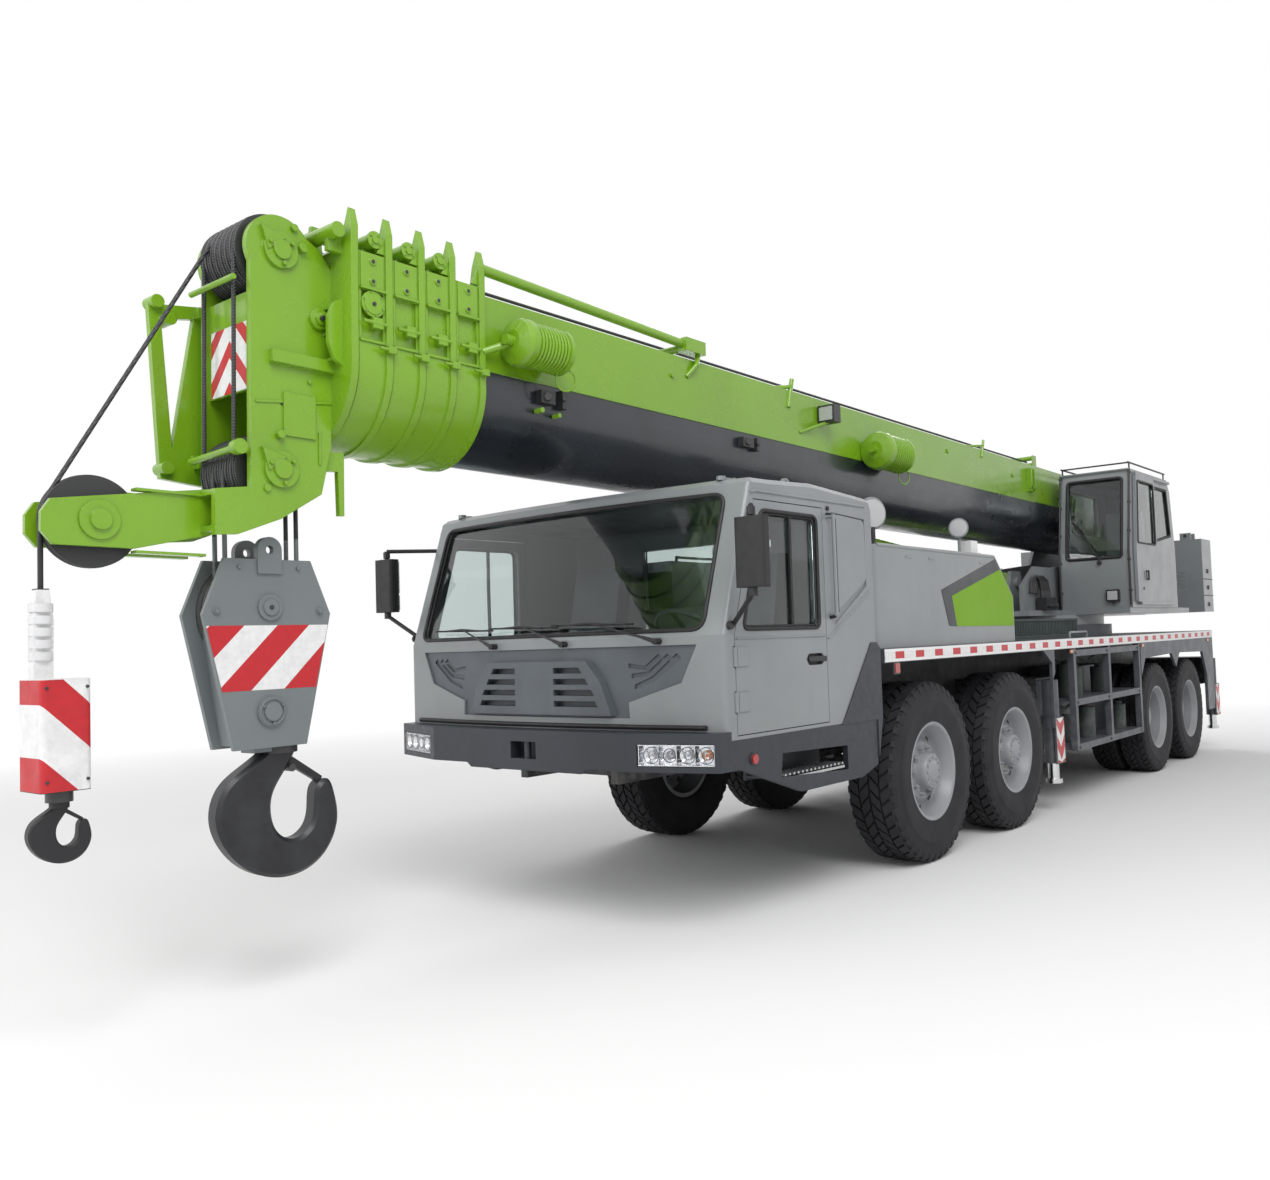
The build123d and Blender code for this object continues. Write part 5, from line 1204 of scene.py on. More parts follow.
class CRANE_OT_windscreen(bpy.types.Operator):
    """Windscreen gasket, wipers, the roof's seam and caps, and the lip over the bumper."""

    bl_idname = "crane.windscreen"
    bl_label = "Windscreen"

    def execute(self, context):
        piece = Piece("windscreen_fittings", "carrier", "seal")
        for inset, thick in ((0.0, 0.013), (0.016, 0.009)):
            outline = finer(plate((inset - 1.232, 1.713), (1.232 - inset, 2.486), 0.075), 0.2)
            piece.tube([on_screen(y, z, 0.001 - inset) for y, z in outline], thick, 8, True)
        for pivot, middle in WIPERS:
            foot = on_screen(pivot, 1.655, 0.012)
            head = on_screen(middle, 1.775, 0.034)
            elbow = foot.lerp(head, 0.16) + Vector((0.030, 0, 0.006))
            piece.use("chassis").stud(foot - 0.030 * X, 0.058 * X, 0.018, 16)
            piece.rod(foot + 0.020 * X, elbow, 0.014, 8, 0.010)
            piece.rod(elbow, head, 0.008, 8, 0.005)
            # blade: two yokes, clips and the rubber
            ends = (-BLADE_HALF, BLADE_HALF)
            left, right = (on_screen(middle + y, 1.765 - 0.02 * y, 0.022) for y in ends)
            for share in YOKES:
                piece.rod(head, left.lerp(right, share) + 0.016 * X, 0.007, 6)
            for share in CLIPS:
                piece.stud(left.lerp(right, share) - 0.004 * X, 0.022 * X, 0.006, 6)
            piece.use("seal").tube([left.lerp(right, step / 6) for step in range(7)], 0.006, 6)
        # black lip over the bumper
        lip = [on_screen(y, COWL_Z, 0.012) for y in (-1.25, -0.8, -0.3, 0.3, 0.8, 1.25)]
        piece.tube([(spot.x, spot.y, LIP_Z) for spot in lip], 0.014, 8)
        # seam of the raised roof, and its two caps
        piece.use("silver")
        for side in (1, -1):
            piece.stud((3.965, side * 1.160, ROOF_Z - 0.002), 0.025 * Z, 0.028, 16)
            piece.stud((3.900, side * 1.235, ROOF_Z - 0.001), -1.200 * X, 0.010, 8)
        piece.rod((3.930, -1.235, ROOF_Z), (3.930, 1.235, ROOF_Z), 0.010, 8)
        piece.done(40)
        return {"FINISHED"}


# outlines of x, z points on the cab's side, and the grab rail's reach and height
WINDOW_MIDDLE = (3.500, 2.000)
QUARTER_PANEL = ((3.085, 1.800), (3.085, 2.420), (2.715, 2.400), (2.705, 2.010))
GUTTER = ((3.985, 2.484), (3.930, 2.496), (2.700, 2.496))
GRAB_RAIL = ((0.0, 2.410), (0.030, 2.406), (0.050, 2.380), (0.050, 1.800), (0.030, 1.774), (0.0, 1.770))
MARKER = (4.040, 0.0, 0.983)
STEP_X = 3.060
STEP_LONG = 0.675
STEP_Z = 0.842
MIRROR_REACH = 0.225


class CRANE_OT_cab_sides(bpy.types.Operator):
    """Window gaskets, handles, rails, marker lamps, steps and mirror glass of the cab."""

    bl_idname = "crane.cab_sides"
    bl_label = "Cab sides"

    def execute(self, context):
        for name, side in SIDES:
            self.door(name, side)
            self.flank(name, side)
        return {"FINISHED"}

    def door(self, name, side):
        """Gaskets, pane bar, handle, lock, hinges and waist line of one door."""
        face = side * HALF_WIDTH
        out = side * Y
        door = Piece(f"door_fittings_{name}", f"door_{name}", "seal")
        # outer and inner gasket: inset, radius, how far behind the door's face
        for inset, thick, drop in ((-0.004, 0.012, 0.0), (0.012, 0.008, 0.012)):
            centre_x, centre_z = WINDOW_MIDDLE
            outline = [
                (x + inset * (1 if x < centre_x else -1), z + inset * (1 if z < centre_z else -1))
                for x, z in DOOR_WINDOW
            ]
            door.tube([(x, face - side * drop, z) for x, z in rounded(outline, 0.050)], thick, 8, True)
        door.box((3.560, face - side * 0.026, 1.716), (3.580, face - side * 0.010, 2.380))
        # handle cup with its lever, and the lock
        door.side(plate((3.262, 1.482), (3.448, 1.548), 0.033), face - side * 0.022, face - side * 0.0195)
        door.use("chassis")
        door.side(plate((3.268, 1.502), (3.442, 1.532), 0.014), face - side * 0.004, face + side * 0.010)
        door.stud((3.250, face, 1.515), out * 0.007, 0.016, 16)
        # hinge leaves, and the moulded line under the window
        door.use("silver")
        for z in (1.250, 1.500):
            door.box((4.060, face, z), (4.160, face + side * 0.006, z + 0.110))
        door.rod((3.235, face, 1.655), (4.165, face, 1.655), 0.007, 8)
        door.done(35)

    def flank(self, name, side):
        """Quarter panel, gutter, grab rail, marker lamp, step and mirror glass of one side."""
        face = side * HALF_WIDTH
        out = side * Y
        cab = Piece(f"cab_fittings_{name}", "carrier", "silver")
        cab.side(rounded(QUARTER_PANEL, 0.045), face, face + side * 0.005)
        cab.rod((3.205, face, 1.637), (2.672, face, 1.936), 0.008, 8)
        cab.tube([(x, face, z) for x, z in GUTTER], 0.010, 8)
        cab.use("seal").tube([(3.165, face + side * reach, z) for reach, z in GRAB_RAIL], 0.014, 10)
        cab.stud((3.160, face, 2.450), out * 0.010, 0.014, 12)
        cab.use("chassis").stud(Vector(MARKER) + face * Y, out * 0.006, 0.036, 20)
        cab.use("red_lens").stud(Vector(MARKER) + face * Y, out * 0.018, 0.027, 20)
        # step tread with its teeth and front edge
        low, high = sorted((face - side * 0.150, face - side * 0.004))
        cab.use("tread_plate").box((STEP_X, low, STEP_Z), (STEP_X + STEP_LONG, high, STEP_Z + 0.008))
        for number in range(15):
            x = STEP_X + 0.015 + 0.0455 * number
            cab.box((x, low + 0.012, STEP_Z + 0.008), (x + 0.016, high, STEP_Z + 0.020))
        cab.box((STEP_X, high - 0.008, STEP_Z - 0.016), (STEP_X + STEP_LONG, high, STEP_Z + 0.008))
        # mirror glasses, the tall one over the wide one
        y = side * (HALF_WIDTH + MIRROR_REACH)
        for z0, z1 in ((2.060, 2.285), (1.940, 2.045)):
            cab.use("mirror").box((4.2465, y - 0.078, z0), (4.2515, y + 0.078, z1))
        # clamps of the mirror's arms
        cab.use("chassis")
        for z in (1.880, 2.310):
            cab.stud((4.295, y, z), 0.044 * Z, 0.024, 16)
        cab.stud((4.224, face, 1.730), out * 0.020, 0.024, 16)
        cab.done(35)


LAMP_INNER_Y = 0.900
LAMP_OUTER_Y = 1.345
LAMP_LOW = 0.972
LAMP_HIGH = 1.088
BUMPER_NOSE_X = 4.500
BUMPER_BEND_Y = 0.850
BUMPER_SWEEP = 0.2952
# share of the way from the inner end to the outer, bowl radius, bulb
LAMP_BOWLS = ((0.15, 0.046, "lens"), (0.39, 0.038, "lens"), (0.62, 0.046, "lens"), (0.86, 0.046, "amber"))
LAMP_RIBS = ((0.0, 0.012), (0.262, 0.272), (0.498, 0.508), (0.738, 0.748), (0.988, 1.0))
# place along the axis, share of the bowl's radius
BOWL = ((0.0, 0.0), (0.001, 0.35), (0.010, 0.62), (0.034, 0.94), (0.036, 1.0), (-0.001, 1.0), (-0.001, 0.0))


class CRANE_OT_head_lamps(bpy.types.Operator):
    """Head lamps: plated bowls, bulbs and ribs behind a clear cover."""

    bl_idname = "crane.head_lamps"
    bl_label = "Head lamps"

    def execute(self, context):
        middle_z = (LAMP_LOW + LAMP_HIGH) / 2
        stand_ins = ["head_lamps"]
        for name, side in SIDES:

            def spot(share, back, z):
                y = LAMP_INNER_Y + 0.004 + share * (LAMP_OUTER_Y - LAMP_INNER_Y - 0.008)
                x = BUMPER_NOSE_X - BUMPER_SWEEP * (y - BUMPER_BEND_Y) - back
                return Vector((x, side * y, z))

            def slab(first, last, front, back, low, high):
                corners = [spot(first, front, low), spot(last, front, low)]
                corners += [spot(last, back, low), spot(first, back, low)]
                piece.prism(corners, (0, 0, high - low))

            piece = Piece(f"lamp_{name}", "carrier", "mirror")
            slab(0.0, 1.0, 0.050, 0.056, LAMP_LOW, LAMP_HIGH)
            slab(0.0, 1.0, 0.006, 0.050, LAMP_LOW, LAMP_LOW + 0.004)
            slab(0.0, 1.0, 0.006, 0.050, LAMP_HIGH - 0.004, LAMP_HIGH)
            for first, last in LAMP_RIBS:
                slab(first, last, 0.010, 0.050, LAMP_LOW, LAMP_HIGH)
            ahead = Vector((1.0, side * BUMPER_SWEEP, 0)).normalized()
            for share, radius, bulb in LAMP_BOWLS:
                centre = spot(share, 0.048, middle_z)
                bowl = [(along, part * radius) for along, part in BOWL]
                piece.use("mirror").lathe(bowl, centre, ahead, 28)
                piece.use(bulb).stud(centre, ahead * 0.022, 0.012, 16, 0.009)
                piece.use("seal").ring(centre + ahead * 0.036, ahead, radius - 0.001, 0.0022, 32, 6)
            piece.use("clear")
            slab(0.0, 1.0, 0.000, 0.003, LAMP_LOW - 0.002, LAMP_HIGH + 0.002)
            piece.done(35, stand_ins)
            stand_ins = []
        return {"FINISHED"}


# ---------------------------------------------------------------- hood and deck
HOOD_Y = 1.300
HOOD_TOP = 2.270
# outlines of x, z points on the hood's side, and the rim over them
HOOD_BAND = (
    (1.441, 1.969), (0.412, 2.240), (0.322, 2.158), (1.267, 1.925), (1.197, 1.692), (1.332, 1.697)
)
HOOD_PANEL = ((1.267, 1.925), (0.322, 2.158), (0.085, 1.934), (0.085, 1.685), (1.197, 1.692))
HOOD_RAIL_X = (2.450, 1.480, 0.520)
HOOD_RAIL_Y = 0.440
LATCH_X = (1.900, 1.540, 0.640)
LOUVRES = 7
# lamp sections: place along the lamp's axis, radius
SMALL_LAMP = ((0.0, 0.0), (0.0, 0.050), (0.018, 0.074), (0.050, 0.080), (0.056, 0.080), (0.056, 0.0))
SMALL_LENS = ((0.050, 0.0), (0.050, 0.070), (0.060, 0.068), (0.066, 0.0))
LARGE_LAMP = (
    (-0.120, 0.0), (-0.120, 0.060), (-0.085, 0.098), (0.0, 0.112),
    (0.050, 0.118), (0.058, 0.110), (0.058, 0.0),
)
LARGE_LENS = ((0.052, 0.0), (0.052, 0.104), (0.064, 0.100), (0.074, 0.0))


class CRANE_OT_hood(bpy.types.Operator):
    """Coloured side panels, lamps, latches and grilles of the engine hood."""

    bl_idname = "crane.hood"
    bl_label = "Engine hood"

    def execute(self, context):
        piece = Piece("hood_fittings", "carrier", "silver")
        foot_z = HOOD_TOP - 0.010
        for side in (1, -1):
            face = side * HOOD_Y
            piece.use("badge_grey").side(HOOD_BAND, face, face + side * 0.003)
            piece.use("decal").side(HOOD_PANEL, face, face + side * 0.003)
            # rounded rim along the top, and flush latches
            rim_y = side * 1.290
            piece.use("silver")
            piece.rod((2.400, rim_y, HOOD_TOP - 0.004), (0.440, rim_y, HOOD_TOP - 0.012), 0.016)
            piece.rod((0.430, rim_y, HOOD_TOP - 0.012), (0.084, rim_y, 1.934), 0.014)
            for x in LATCH_X:
                piece.box((x, face, 2.190), (x + 0.090, face + side * 0.004, 2.206))
            # louvres on the rear slope
            piece.use("chassis")
            for number in range(LOUVRES):
                x = 0.372 - 0.040 * number
                z = 2.219 - 0.0382 * number
                piece.box((x - 0.010, side * 0.55, z - 0.004), (x + 0.010, side * 1.10, z + 0.012))
            # large lamp at the cab's rear corner, on its two legs
            piece.rod((2.150, side * 1.130, foot_z), (2.150, side * 1.130, 2.420), 0.020)
            piece.rod((2.180, side * 1.000, foot_z), (2.180, side * 1.000, 2.440), 0.014)
            centre = (2.130, side * 1.090, 2.515)
            ahead = (0.45, side * 0.90, 0)
            piece.use("silver").lathe(LARGE_LAMP, centre, ahead)
            piece.use("lens").lathe(LARGE_LENS, centre, ahead)
            # round lamp on its stalk, with the box beside it and their base
            centre = (0.850, side * 1.200, 2.478)
            ahead = (1.0, side * 0.25, 0)
            piece.lathe(SMALL_LENS, centre, ahead)
            piece.use("silver").lathe(SMALL_LAMP, centre, ahead)
            piece.rod((0.870, side * 1.200, foot_z), (0.870, side * 1.200, 2.400), 0.013)
            piece.box((0.590, side * 1.135, 2.262), (0.960, side * 1.255, 2.284))
            piece.use("white").box((0.615, side * 1.150, foot_z), (0.735, side * 1.240, 2.385))
            # rail along the hood's inner edge
            y = side * HOOD_RAIL_Y
            piece.use("silver").rod((HOOD_RAIL_X[0], y, 2.305), (HOOD_RAIL_X[-1], y, 2.300), 0.012)
            for x in HOOD_RAIL_X:
                piece.rod((x, y, foot_z), (x, y, 2.305), 0.012)
        piece.done(35)
        return {"FINISHED"}


DECK_FRONT_X = 2.495
DECK_REAR_X = -6.315
DECK_TOP = 1.553
SIDE_LAMP_X = (-1.050, -3.260, -6.050)
GRAB_LOOP = (
    (-1.250, 1.550), (-1.250, 1.592), (-1.262, 1.606),
    (-1.708, 1.606), (-1.720, 1.592), (-1.720, 1.550),
)
GUARD_Y = 0.960
GUARD_BARS = 63
# filters and bottles in the step frame: x, y, bottom, top, radius
BOTTLES = (
    (-1.420, 1.190, 0.980, 1.300, 0.085),
    (-1.640, 1.190, 0.980, 1.260, 0.070),
    (-2.420, 1.180, 0.980, 1.240, 0.095),
    (-2.900, 1.190, 0.560, 0.820, 0.080),
    (-1.900, 1.190, 0.560, 0.860, 0.090),
    (-1.360, 1.190, 0.560, 0.790, 0.075),
)
HOSE_X = (-1.25, -1.6, -1.95, -2.3, -2.65, -3.05)
TAIL_X = -6.320


class CRANE_OT_deck(bpy.types.Operator):
    """Warning tape, side lamps, grab loops, slatted guards and tread strips of the deck."""

    bl_idname = "crane.deck"
    bl_label = "Deck"

    def execute(self, context):
        piece = Piece("deck_fittings", "carrier", "white")
        for side in (1, -1):
            self.edge(piece, side)
            self.top(piece, side)
            self.step_frame(piece, side)
        piece.done(35)
        self.rear_lamps()
        return {"FINISHED"}

    def edge(self, piece, side):
        """White and red tape, corner reflector and side lamps along the deck's edge."""
        face = side * HALF_WIDTH
        for finish, depth, low, high in (("white", 0.0, 1.461, 1.549), ("tape", 0.001, 1.482, 1.530)):
            near = (DECK_REAR_X, face + side * depth, low)
            piece.use(finish).box(near, (DECK_FRONT_X, face + side * (depth + 0.0025), high))
        piece.use("deck").box((2.280, face - side * 0.012, 1.375), (2.365, face - side * 0.002, 1.458))
        piece.use("red_lens").box((2.290, face - side * 0.002, 1.385), (2.355, face + side * 0.004, 1.450))
        piece.use("amber")
        for x in SIDE_LAMP_X:
            piece.box((x - 0.035, face, 1.415), (x + 0.035, face + side * 0.010, 1.445))

    def top(self, piece, side):
        """Grab loop, slatted guard and non-slip strips on the deck."""
        piece.use("silver").tube([(x, side * 1.300, z) for x, z in GRAB_LOOP], 0.012, 8)
        y = side * GUARD_Y
        piece.use("mesh_dark")
        for z in (1.572, 1.735):
            piece.box((-2.450, y - 0.010, z - 0.012), (0.060, y + 0.010, z + 0.012))
        for number in range(GUARD_BARS):
            x = 0.050 - 0.040 * number
            piece.box((x - 0.009, y - 0.006, 1.560), (x + 0.009, y + 0.006, 1.738))
        for number in range(9):
            x = -0.250 - 0.300 * number
            piece.box((x - 0.110, side * 1.06, DECK_TOP), (x + 0.110, side * 1.28, DECK_TOP + 0.004))

    def step_frame(self, piece, side):
        """Bolts on the frame's posts, bottles and hoses behind them."""
        face = side * HALF_WIDTH
        piece.use("deck")
        for z in (0.530, 0.950, 1.410):
            for x in (-1.20, -2.10, -3.10):
                piece.stud((x, face - side * 0.005, z), side * 0.009 * Y, 0.014, 6)
        piece.use("mesh_dark")
        for x, y, low, high, radius in BOTTLES:
            piece.rod((x, side * y, low), (x, side * y, high), radius, 20)
            piece.stud((x, side * y, high), 0.030 * Z, radius * 0.55, 16)
        for z in (0.90, 1.34):
            piece.tube([(x, side * 1.10, z + 0.04 * sin(9 * x)) for x in HOSE_X], 0.014, 8)

    def rear_lamps(self):
        """Two rows of round lamps on the last skirt."""
        rear = Piece("rear_lamps", "carrier", "red_lens")
        for side in (1, -1):
            y = side * 1.020
            rear.use("chassis").box((TAIL_X - 0.025, y - 0.240, 1.300), (TAIL_X, y + 0.240, 1.420))
            for number, finish in enumerate(("amber", "red_lens", "red_lens", "amber")):
                lamp = (TAIL_X - 0.025, y - 0.165 + 0.110 * number, 1.360)
                rear.use(finish).stud(lamp, -0.015 * X, 0.046, 20, 0.042)
            rear.use("deck").rod((TAIL_X, y, 1.420), (TAIL_X, y, 1.500), 0.016)
        rear.done(35)


# ---------------------------------------------------------------- operator's cab
OP_FRONT_X = -3.290
OP_TOP = 3.400
OP_KNEE_Z = 2.490
OP_SLOPE = -0.1758
OP_RAIL_Z = OP_TOP + 0.075
# side window outlines of x, z points, by the place of their pane across the crane
OP_WINDOWS = {
    1.281: ((-4.275, 2.625), (-4.275, 3.265), (-4.835, 3.265), (-4.945, 2.725)),
    0.499: ((-3.620, 2.765), (-3.620, 3.235), (-4.590, 3.235), (-4.590, 2.765)),
}
OP_DOOR_WINDOW = ((-3.455, 2.570), (-3.535, 3.270), (-4.130, 3.270), (-4.130, 2.570))
WIPER_FOOT = (0.955, 2.360)


def op_front(y, z, out=0.0):
    """A point on the sloping front of the operator's cab."""
    return Vector((OP_FRONT_X + OP_SLOPE * max(z - OP_KNEE_Z, 0.0) + out, y, z))


class CRANE_OT_operator_cab(bpy.types.Operator):
    """Gaskets, black corner rails, wiper, work lamp, handle and roof rails of the operator's cab."""

    bl_idname = "crane.operator_cab"
    bl_label = "Operator's cab"

    def execute(self, context):
        piece = Piece("operator_cab_fittings", "superstructure", "seal")
        self.front(piece)
        self.sides(piece)
        self.roof(piece)
        piece.done(35)
        self.door()
        return {"FINISHED"}

    def front(self, piece):
        """Front gasket, wiper, corner rails with their clips, and the work lamp."""
        outline = finer(plate((0.590, 2.412), (1.200, 3.308), 0.040), 0.3)
        piece.tube([op_front(y, z, 0.004) for y, z in outline], 0.017, 8, True)
        start = op_front(0.655, 2.840, 0.026)
        end = op_front(0.955, 2.395, 0.026)
        aside = Vector((0.004, 0.020, 0))
        piece.rod(start, end, 0.010, 8)
        piece.rod(start + aside, end + aside, 0.006, 8)
        piece.stud(op_front(*WIPER_FOOT), 0.040 * X, 0.022, 12)
        piece.rod(end, op_front(*WIPER_FOOT, 0.034), 0.010, 8)
        piece.use("chassis")
        for y in (0.512, 1.284):
            piece.tube([op_front(y, z, 0.024) for z in (3.395, 2.95, OP_KNEE_Z, 2.15, 1.875)], 0.012, 8)
            for z in (3.36, 3.02, 2.70, 2.38, 2.04):
                piece.stud(op_front(y, z), 0.030 * X, 0.018, 8)
        piece.box((-3.300, 1.020, 1.925), (-3.246, 1.160, 2.055))
        piece.rod((-3.275, 1.090, 1.890), (-3.275, 1.090, 1.930), 0.012)
        piece.use("lens").box((-3.248, 1.036, 1.942), (-3.240, 1.144, 2.038))

    def sides(self, piece):
        """Side gaskets, lever boxes with their levers, and vents on the box behind the cab."""
        piece.use("seal")
        for y, outline in OP_WINDOWS.items():
            piece.tube([(x, y, z) for x, z in rounded(outline, 0.035)], 0.012, 8, True)
        piece.use("chassis")
        for y in (0.6825, 1.1575):
            piece.box((-4.250, y - 0.0225, 2.330), (-3.900, y + 0.0225, 2.480))
        for y in (0.682, 1.158):
            for x in (-3.94, -4.04):
                piece.rod((x, y, 2.480), (x + 0.020, y, 2.620), 0.009, 8)
                piece.rod((x + 0.019, y, 2.610), (x + 0.026, y, 2.660), 0.018, 12)
        piece.use("mesh_dark")
        for number in range(6):
            z = 2.050 + 0.045 * number
            piece.box((-5.560, 1.265, z), (-5.160, 1.274, z + 0.020))

    def roof(self, piece):
        """Brow over the front window, and rails on posts round the roof."""
        piece.use("silver").rod((-3.420, 0.500, OP_TOP - 0.004), (-3.420, 1.290, OP_TOP - 0.004), 0.010)
        piece.use("chassis")
        for y in (0.520, 1.270):
            for x in (-3.480, -4.820):
                piece.rod((x, y, OP_TOP - 0.005), (x, y, OP_RAIL_Z), 0.009)
            piece.rod((-3.440, y, OP_RAIL_Z), (-4.860, y, OP_RAIL_Z), 0.010)
        piece.rod((-3.480, 0.520, OP_RAIL_Z), (-3.480, 1.270, OP_RAIL_Z), 0.009)

    def door(self):
        """Gasket, handle and lock of the sliding door."""
        door = Piece("operator_door_fittings", "operator_door", "seal")
        face = max(corner[1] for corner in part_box("operator_cab_door"))
        door.tube([(x, face, z) for x, z in rounded(OP_DOOR_WINDOW, 0.040)], 0.012, 8, True)
        door.use("chassis").box((-3.745, face - 0.002, 2.150), (-3.715, face + 0.003, 2.270))
        for z in (2.165, 2.255):
            door.stud((-3.730, face, z), 0.022 * Y, 0.008, 8)
        door.rod((-3.730, face + 0.022, 2.155), (-3.730, face + 0.022, 2.265), 0.010, 8)
        door.stud((-3.600, face, 2.060), 0.006 * Y, 0.014, 12)
        door.done(35)


# ---------------------------------------------------------------- superstructure and outriggers
SLEW_X = -3.700
TAIL_REACH = 3.570
WEIGHT_Y = 1.250
WINCHES = ((-5.830, 2.090), (-6.330, 2.190))
ROPE_TURNS = 25
# a hose of the valve block: x from its port, y, z
HOSE = (
    (0.000, 0.500, 2.050),
    (0.020, 0.490, 2.180),
    (0.090, 0.470, 2.225),
    (0.170, 0.455, 2.170),
    (0.200, 0.448, 2.040),
)


class CRANE_OT_superstructure(bpy.types.Operator):
    """Valve block, hoses, winch ropes and the counterweight's seams, eyes and bolts."""

    bl_idname = "crane.superstructure"
    bl_label = "Superstructure"

    def execute(self, context):
        piece = Piece("valve_block", "superstructure", "chassis")
        piece.box((-2.960, 0.445, 1.850), (-2.680, 0.560, 1.990))
        for number in range(5):
            port = -2.930 + 0.055 * number
            piece.use("chassis").tube([(port + x, y, z) for x, y, z in HOSE], 0.015, 8)
            piece.use("dark_steel").rod((port, 0.500, 1.985), (port, 0.500, 2.060), 0.018, 10)
            piece.stud((port, 0.555, 1.900), 0.040 * Y, 0.020, 8)
        piece.done(35)

        ropes = Piece("winch_ropes", "superstructure", "rope")
        for x, z in WINCHES:
            for number in range(ROPE_TURNS):
                y = 0.0245 * (number - (ROPE_TURNS - 1) / 2)
                ropes.ring((x, y, z), Y, 0.162, 0.0125, 28, 6)
        ropes.done(40)

        # seams between the counterweight's slabs, then lifting eyes and tie bolts
        weight = Piece("counterweight_fittings", "superstructure", "seal")
        places = (-WEIGHT_Y, -0.8, -0.4, 0.0, 0.4, 0.8, WEIGHT_Y)
        for z in (2.020, 2.240):
            tail = [(SLEW_X - (TAIL_REACH**2 - y * y) ** 0.5, y, z) for y in places]
            weight.tube([(-6.570, -WEIGHT_Y, z), *tail, (-6.570, WEIGHT_Y, z)], 0.006, 6)
        for side in (1, -1):
            y = side * 1.020
            weight.use("silver")
            for x in (-6.700, -6.900):
                weight.box((x - 0.015, y - 0.070, 2.775), (x + 0.015, y + 0.070, 2.880))
            weight.use("dark_steel").rod((-6.930, y, 2.845), (-6.670, y, 2.845), 0.020, 16)
            for z in (1.900, 2.130, 2.350):
                weight.stud((-6.800, side * WEIGHT_Y, z), side * 0.014 * Y, 0.032, 6)
        weight.done(35)
        return {"FINISHED"}


PLATE_LOW = 0.446
PLATE_HIGH = 0.844
PLATE_HALF = 0.094
CHEVRON_TOPS = (0.900, 0.690, 0.480)
CHEVRON_WIDE = 0.110
CHEVRON_SLANT = 0.105


class CRANE_OT_outriggers(bpy.types.Operator):
    """Plates with warning chevrons on the ends of the outrigger beams."""

    bl_idname = "crane.outriggers"
    bl_label = "Outriggers"

    def execute(self, context):
        for row in ("front", "rear"):
            for name, side in SIDES:
                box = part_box(f"outrigger_beam_{row}_{name}")
                face = side * max(side * corner[1] for corner in box)
                middle = sum(corner[0] for corner in box) / 2
                guard = Piece(f"guard_{row}_{name}", f"beam_{row}_{name}", "white")
                outline = plate((middle - PLATE_HALF, PLATE_LOW), (middle + PLATE_HALF, PLATE_HIGH), 0.012)
                guard.side(outline, face, face + side * 0.0015)
                # downward chevrons, cut off by the plate's ends
                guard.use("red_plate")
                for top in CHEVRON_TOPS:
                    peak = top - CHEVRON_SLANT
                    heights = (peak - CHEVRON_WIDE, peak, top, top - CHEVRON_WIDE)
                    heights = [max(PLATE_LOW + 0.002, min(PLATE_HIGH - 0.002, z)) for z in heights]
                    for end in (middle - 0.090, middle + 0.090):
                        corners = zip((middle, middle, end, end), heights)
                        guard.side(tuple(corners), face + side * 0.0012, face + side * 0.0025)
                guard.use("chassis")
                for x in (middle - 0.080, middle + 0.080):
                    for z in (0.460, 0.830):
                        guard.stud((x, face, z), side * 0.006 * Y, 0.007, 8)
                guard.done(30)
        return {"FINISHED"}


# ---------------------------------------------------------------- stage
def floor_paint(stage):
    """Pale floor that turns plain white in the distance."""
    shader = Shader("floor_paint")
    shader.colour(tuple(stage.floor))
    shader.set(Roughness=0.9, Specular_IOR_Level=0.1)
    axes = shader.axes()
    far = shader.math("SQRT", shader.math("ADD", *(shader.math("POWER", axes[name], 2.0) for name in "XY")))
    light = shader.node("ShaderNodeLightPath").outputs
    seen = shader.math("MAXIMUM", light["Is Camera Ray"], light["Is Glossy Ray"])
    seen = shader.math("MAXIMUM", seen, light["Is Transmission Ray"])
    share = shader.math("MULTIPLY", seen, shader.ramp(far, stage.near, stage.far))
    white = shader.node("ShaderNodeEmission")
    white.inputs["Color"].default_value = (1.0, 1.0, 1.0, 1.0)
    blend = shader.node("ShaderNodeMixShader")
    output = shader.surface.outputs["BSDF"].links[0].to_node
    shader.link(share, blend.inputs["Fac"])
    shader.link(shader.surface.outputs["BSDF"], blend.inputs[1])
    shader.link(white.outputs["Emission"], blend.inputs[2])
    shader.link(blend.outputs["Shader"], output.inputs["Surface"])
    return shader.material


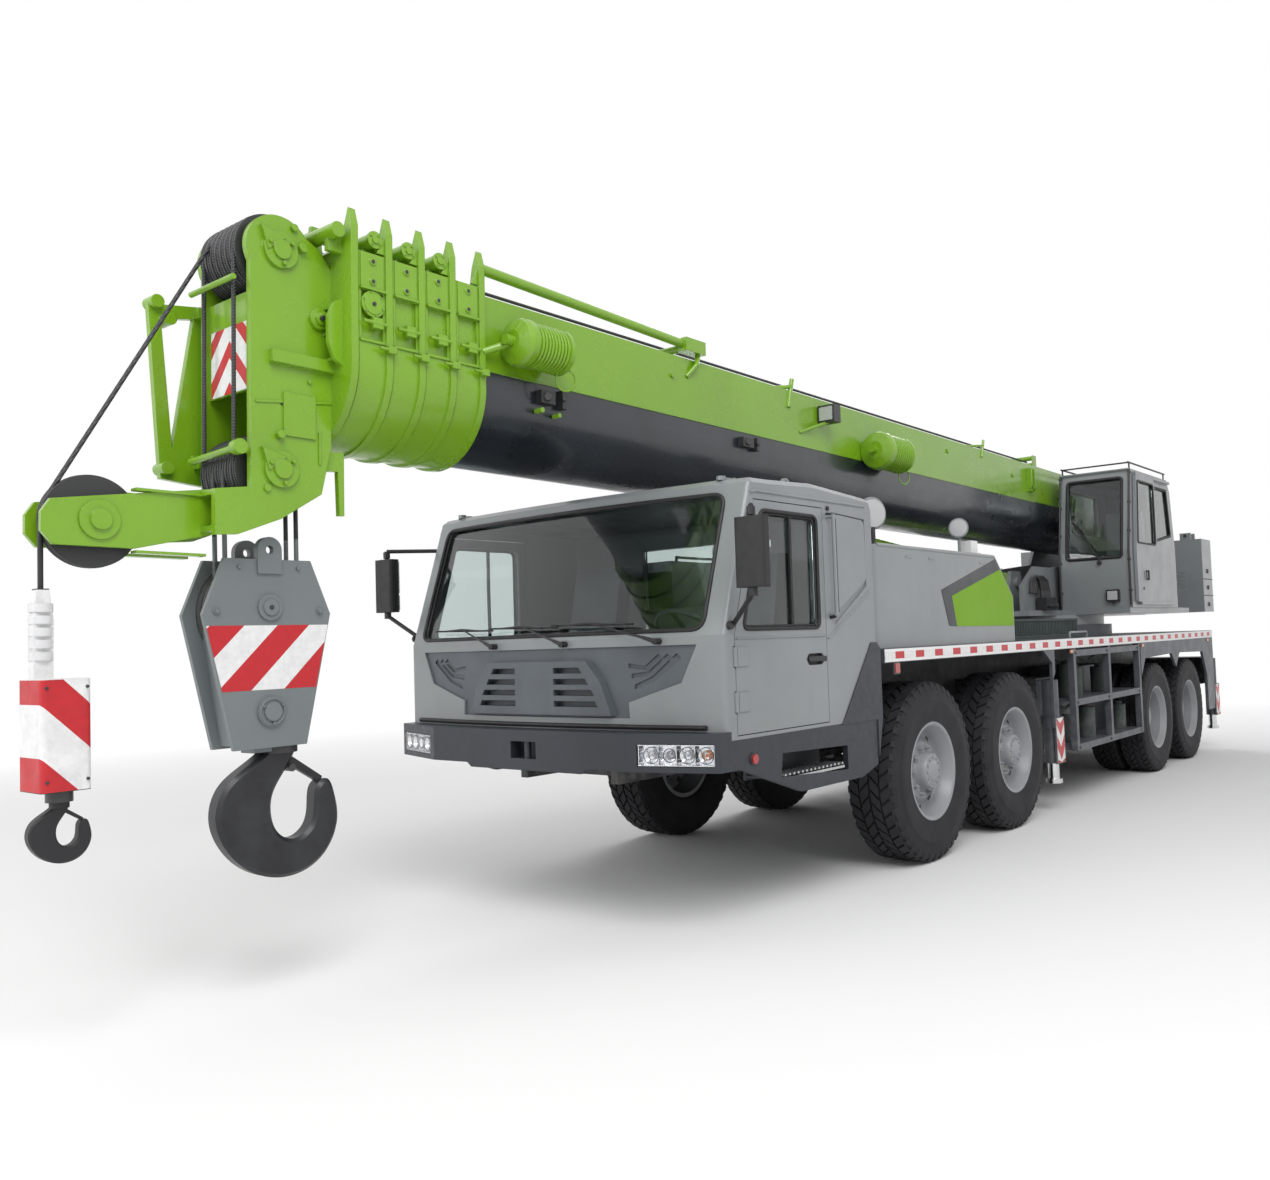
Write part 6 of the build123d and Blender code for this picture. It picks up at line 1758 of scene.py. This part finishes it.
class CRANE_OT_stage(bpy.types.Operator):
    """Floor, backdrop, soft lights and camera."""

    bl_idname = "crane.stage"
    bl_label = "Stage"

    def execute(self, context):
        scene = context.scene
        stage = scene.crane_stage
        bpy.ops.mesh.primitive_plane_add(size=400)
        floor = context.object
        floor.name = "floor"
        floor.data.materials.append(floor_paint(stage))
        world = bpy.data.worlds.new("studio")
        scene.world = world
        world.use_nodes = True
        background = world.node_tree.nodes["Background"]
        background.inputs["Color"].default_value = (1.0, 1.0, 1.0, 1.0)
        # plain white where it is seen, and softer where it lights
        light = world.node_tree.nodes.new("ShaderNodeLightPath")
        level = world.node_tree.nodes.new("ShaderNodeMapRange")
        level.inputs["To Min"].default_value = stage.sky
        world.node_tree.links.new(light.outputs["Is Diffuse Ray"], level.inputs["Value"])
        level.inputs["From Min"].default_value = 1.0
        level.inputs["From Max"].default_value = 0.0
        world.node_tree.links.new(level.outputs["Result"], background.inputs["Strength"])
        # name, place, target, size, power as a share of the key light
        for name, place, target, size, share in (
            ("key", (10.0, 9.0, 12.0), (0.0, 0.0, 1.5), 9.0, 1.0),
            ("front", (16.0, -4.0, 6.0), (4.0, 0.0, 1.5), 6.0, 0.35),
            ("back", (-12.0, -8.0, 9.0), (0.0, 0.0, 2.0), 8.0, 0.5),
        ):
            lamp = bpy.data.lights.new(name, "AREA")
            lamp.size = size
            lamp.energy = stage.key * share
            holder = bpy.data.objects.new(name, lamp)
            scene.collection.objects.link(holder)
            holder.location = place
            aim = Vector(target) - Vector(place)
            holder.rotation_euler = aim.to_track_quat("-Z", "Y").to_euler()
        lens = bpy.data.cameras.new("camera")
        lens.sensor_width = 36.0
        lens.lens = stage.lens
        lens.shift_x = CAMERA_SHIFT
        lens.clip_end = 300.0
        camera = bpy.data.objects.new("camera", lens)
        scene.collection.objects.link(camera)
        right = Vector(CAMERA_RIGHT).normalized()
        up = Vector(CAMERA_UP).normalized()
        back = right.cross(up)
        turn = Matrix((right, up, back)).transposed().to_4x4()
        camera.matrix_world = Matrix.Translation(CAMERA_PLACE) @ turn
        scene.camera = camera
        scene.view_settings.view_transform = "Standard"
        return {"FINISHED"}


CAMERA_PLACE = Vector((8.960, 4.921, 1.656))
CAMERA_RIGHT = (-0.61926, 0.78444, -0.03417)
CAMERA_UP = (0.01484, 0.05521, 0.99836)
CAMERA_SHIFT = -0.0526


# ---------------------------------------------------------------- panel and run
OPERATORS = (
    CRANE_OT_finishes,
    CRANE_OT_tyres,
    CRANE_OT_rims,
    CRANE_OT_collars,
    CRANE_OT_boom_side,
    CRANE_OT_head,
    CRANE_OT_hooks,
    CRANE_OT_windscreen,
    CRANE_OT_cab_sides,
    CRANE_OT_head_lamps,
    CRANE_OT_hood,
    CRANE_OT_deck,
    CRANE_OT_operator_cab,
    CRANE_OT_superstructure,
    CRANE_OT_outriggers,
    CRANE_OT_stage,
)


class CRANE_PT_panel(bpy.types.Panel):
    """Lists the crane's steps in the sidebar."""

    bl_label = "Truck Crane"
    bl_idname = "CRANE_PT_panel"
    bl_space_type = "VIEW_3D"
    bl_region_type = "UI"
    bl_category = "Truck Crane"

    def draw(self, context):
        for operator in OPERATORS:
            self.layout.operator(operator.bl_idname)


GROUPS = (CraneColours, CraneSizes, CraneStage)


def register():
    for item in (*GROUPS, *OPERATORS, CRANE_PT_panel):
        bpy.utils.register_class(item)
    bpy.types.Scene.crane_colours = PointerProperty(type=CraneColours)
    bpy.types.Scene.crane_sizes = PointerProperty(type=CraneSizes)
    bpy.types.Scene.crane_stage = PointerProperty(type=CraneStage)


def unregister():
    del bpy.types.Scene.crane_stage
    del bpy.types.Scene.crane_sizes
    del bpy.types.Scene.crane_colours
    for item in reversed((*GROUPS, *OPERATORS, CRANE_PT_panel)):
        bpy.utils.unregister_class(item)


def main():
    register()
    for operator in OPERATORS:
        group, name = operator.bl_idname.split(".")
        getattr(getattr(bpy.ops, group), name)()


if __name__ == "__main__":
    main()
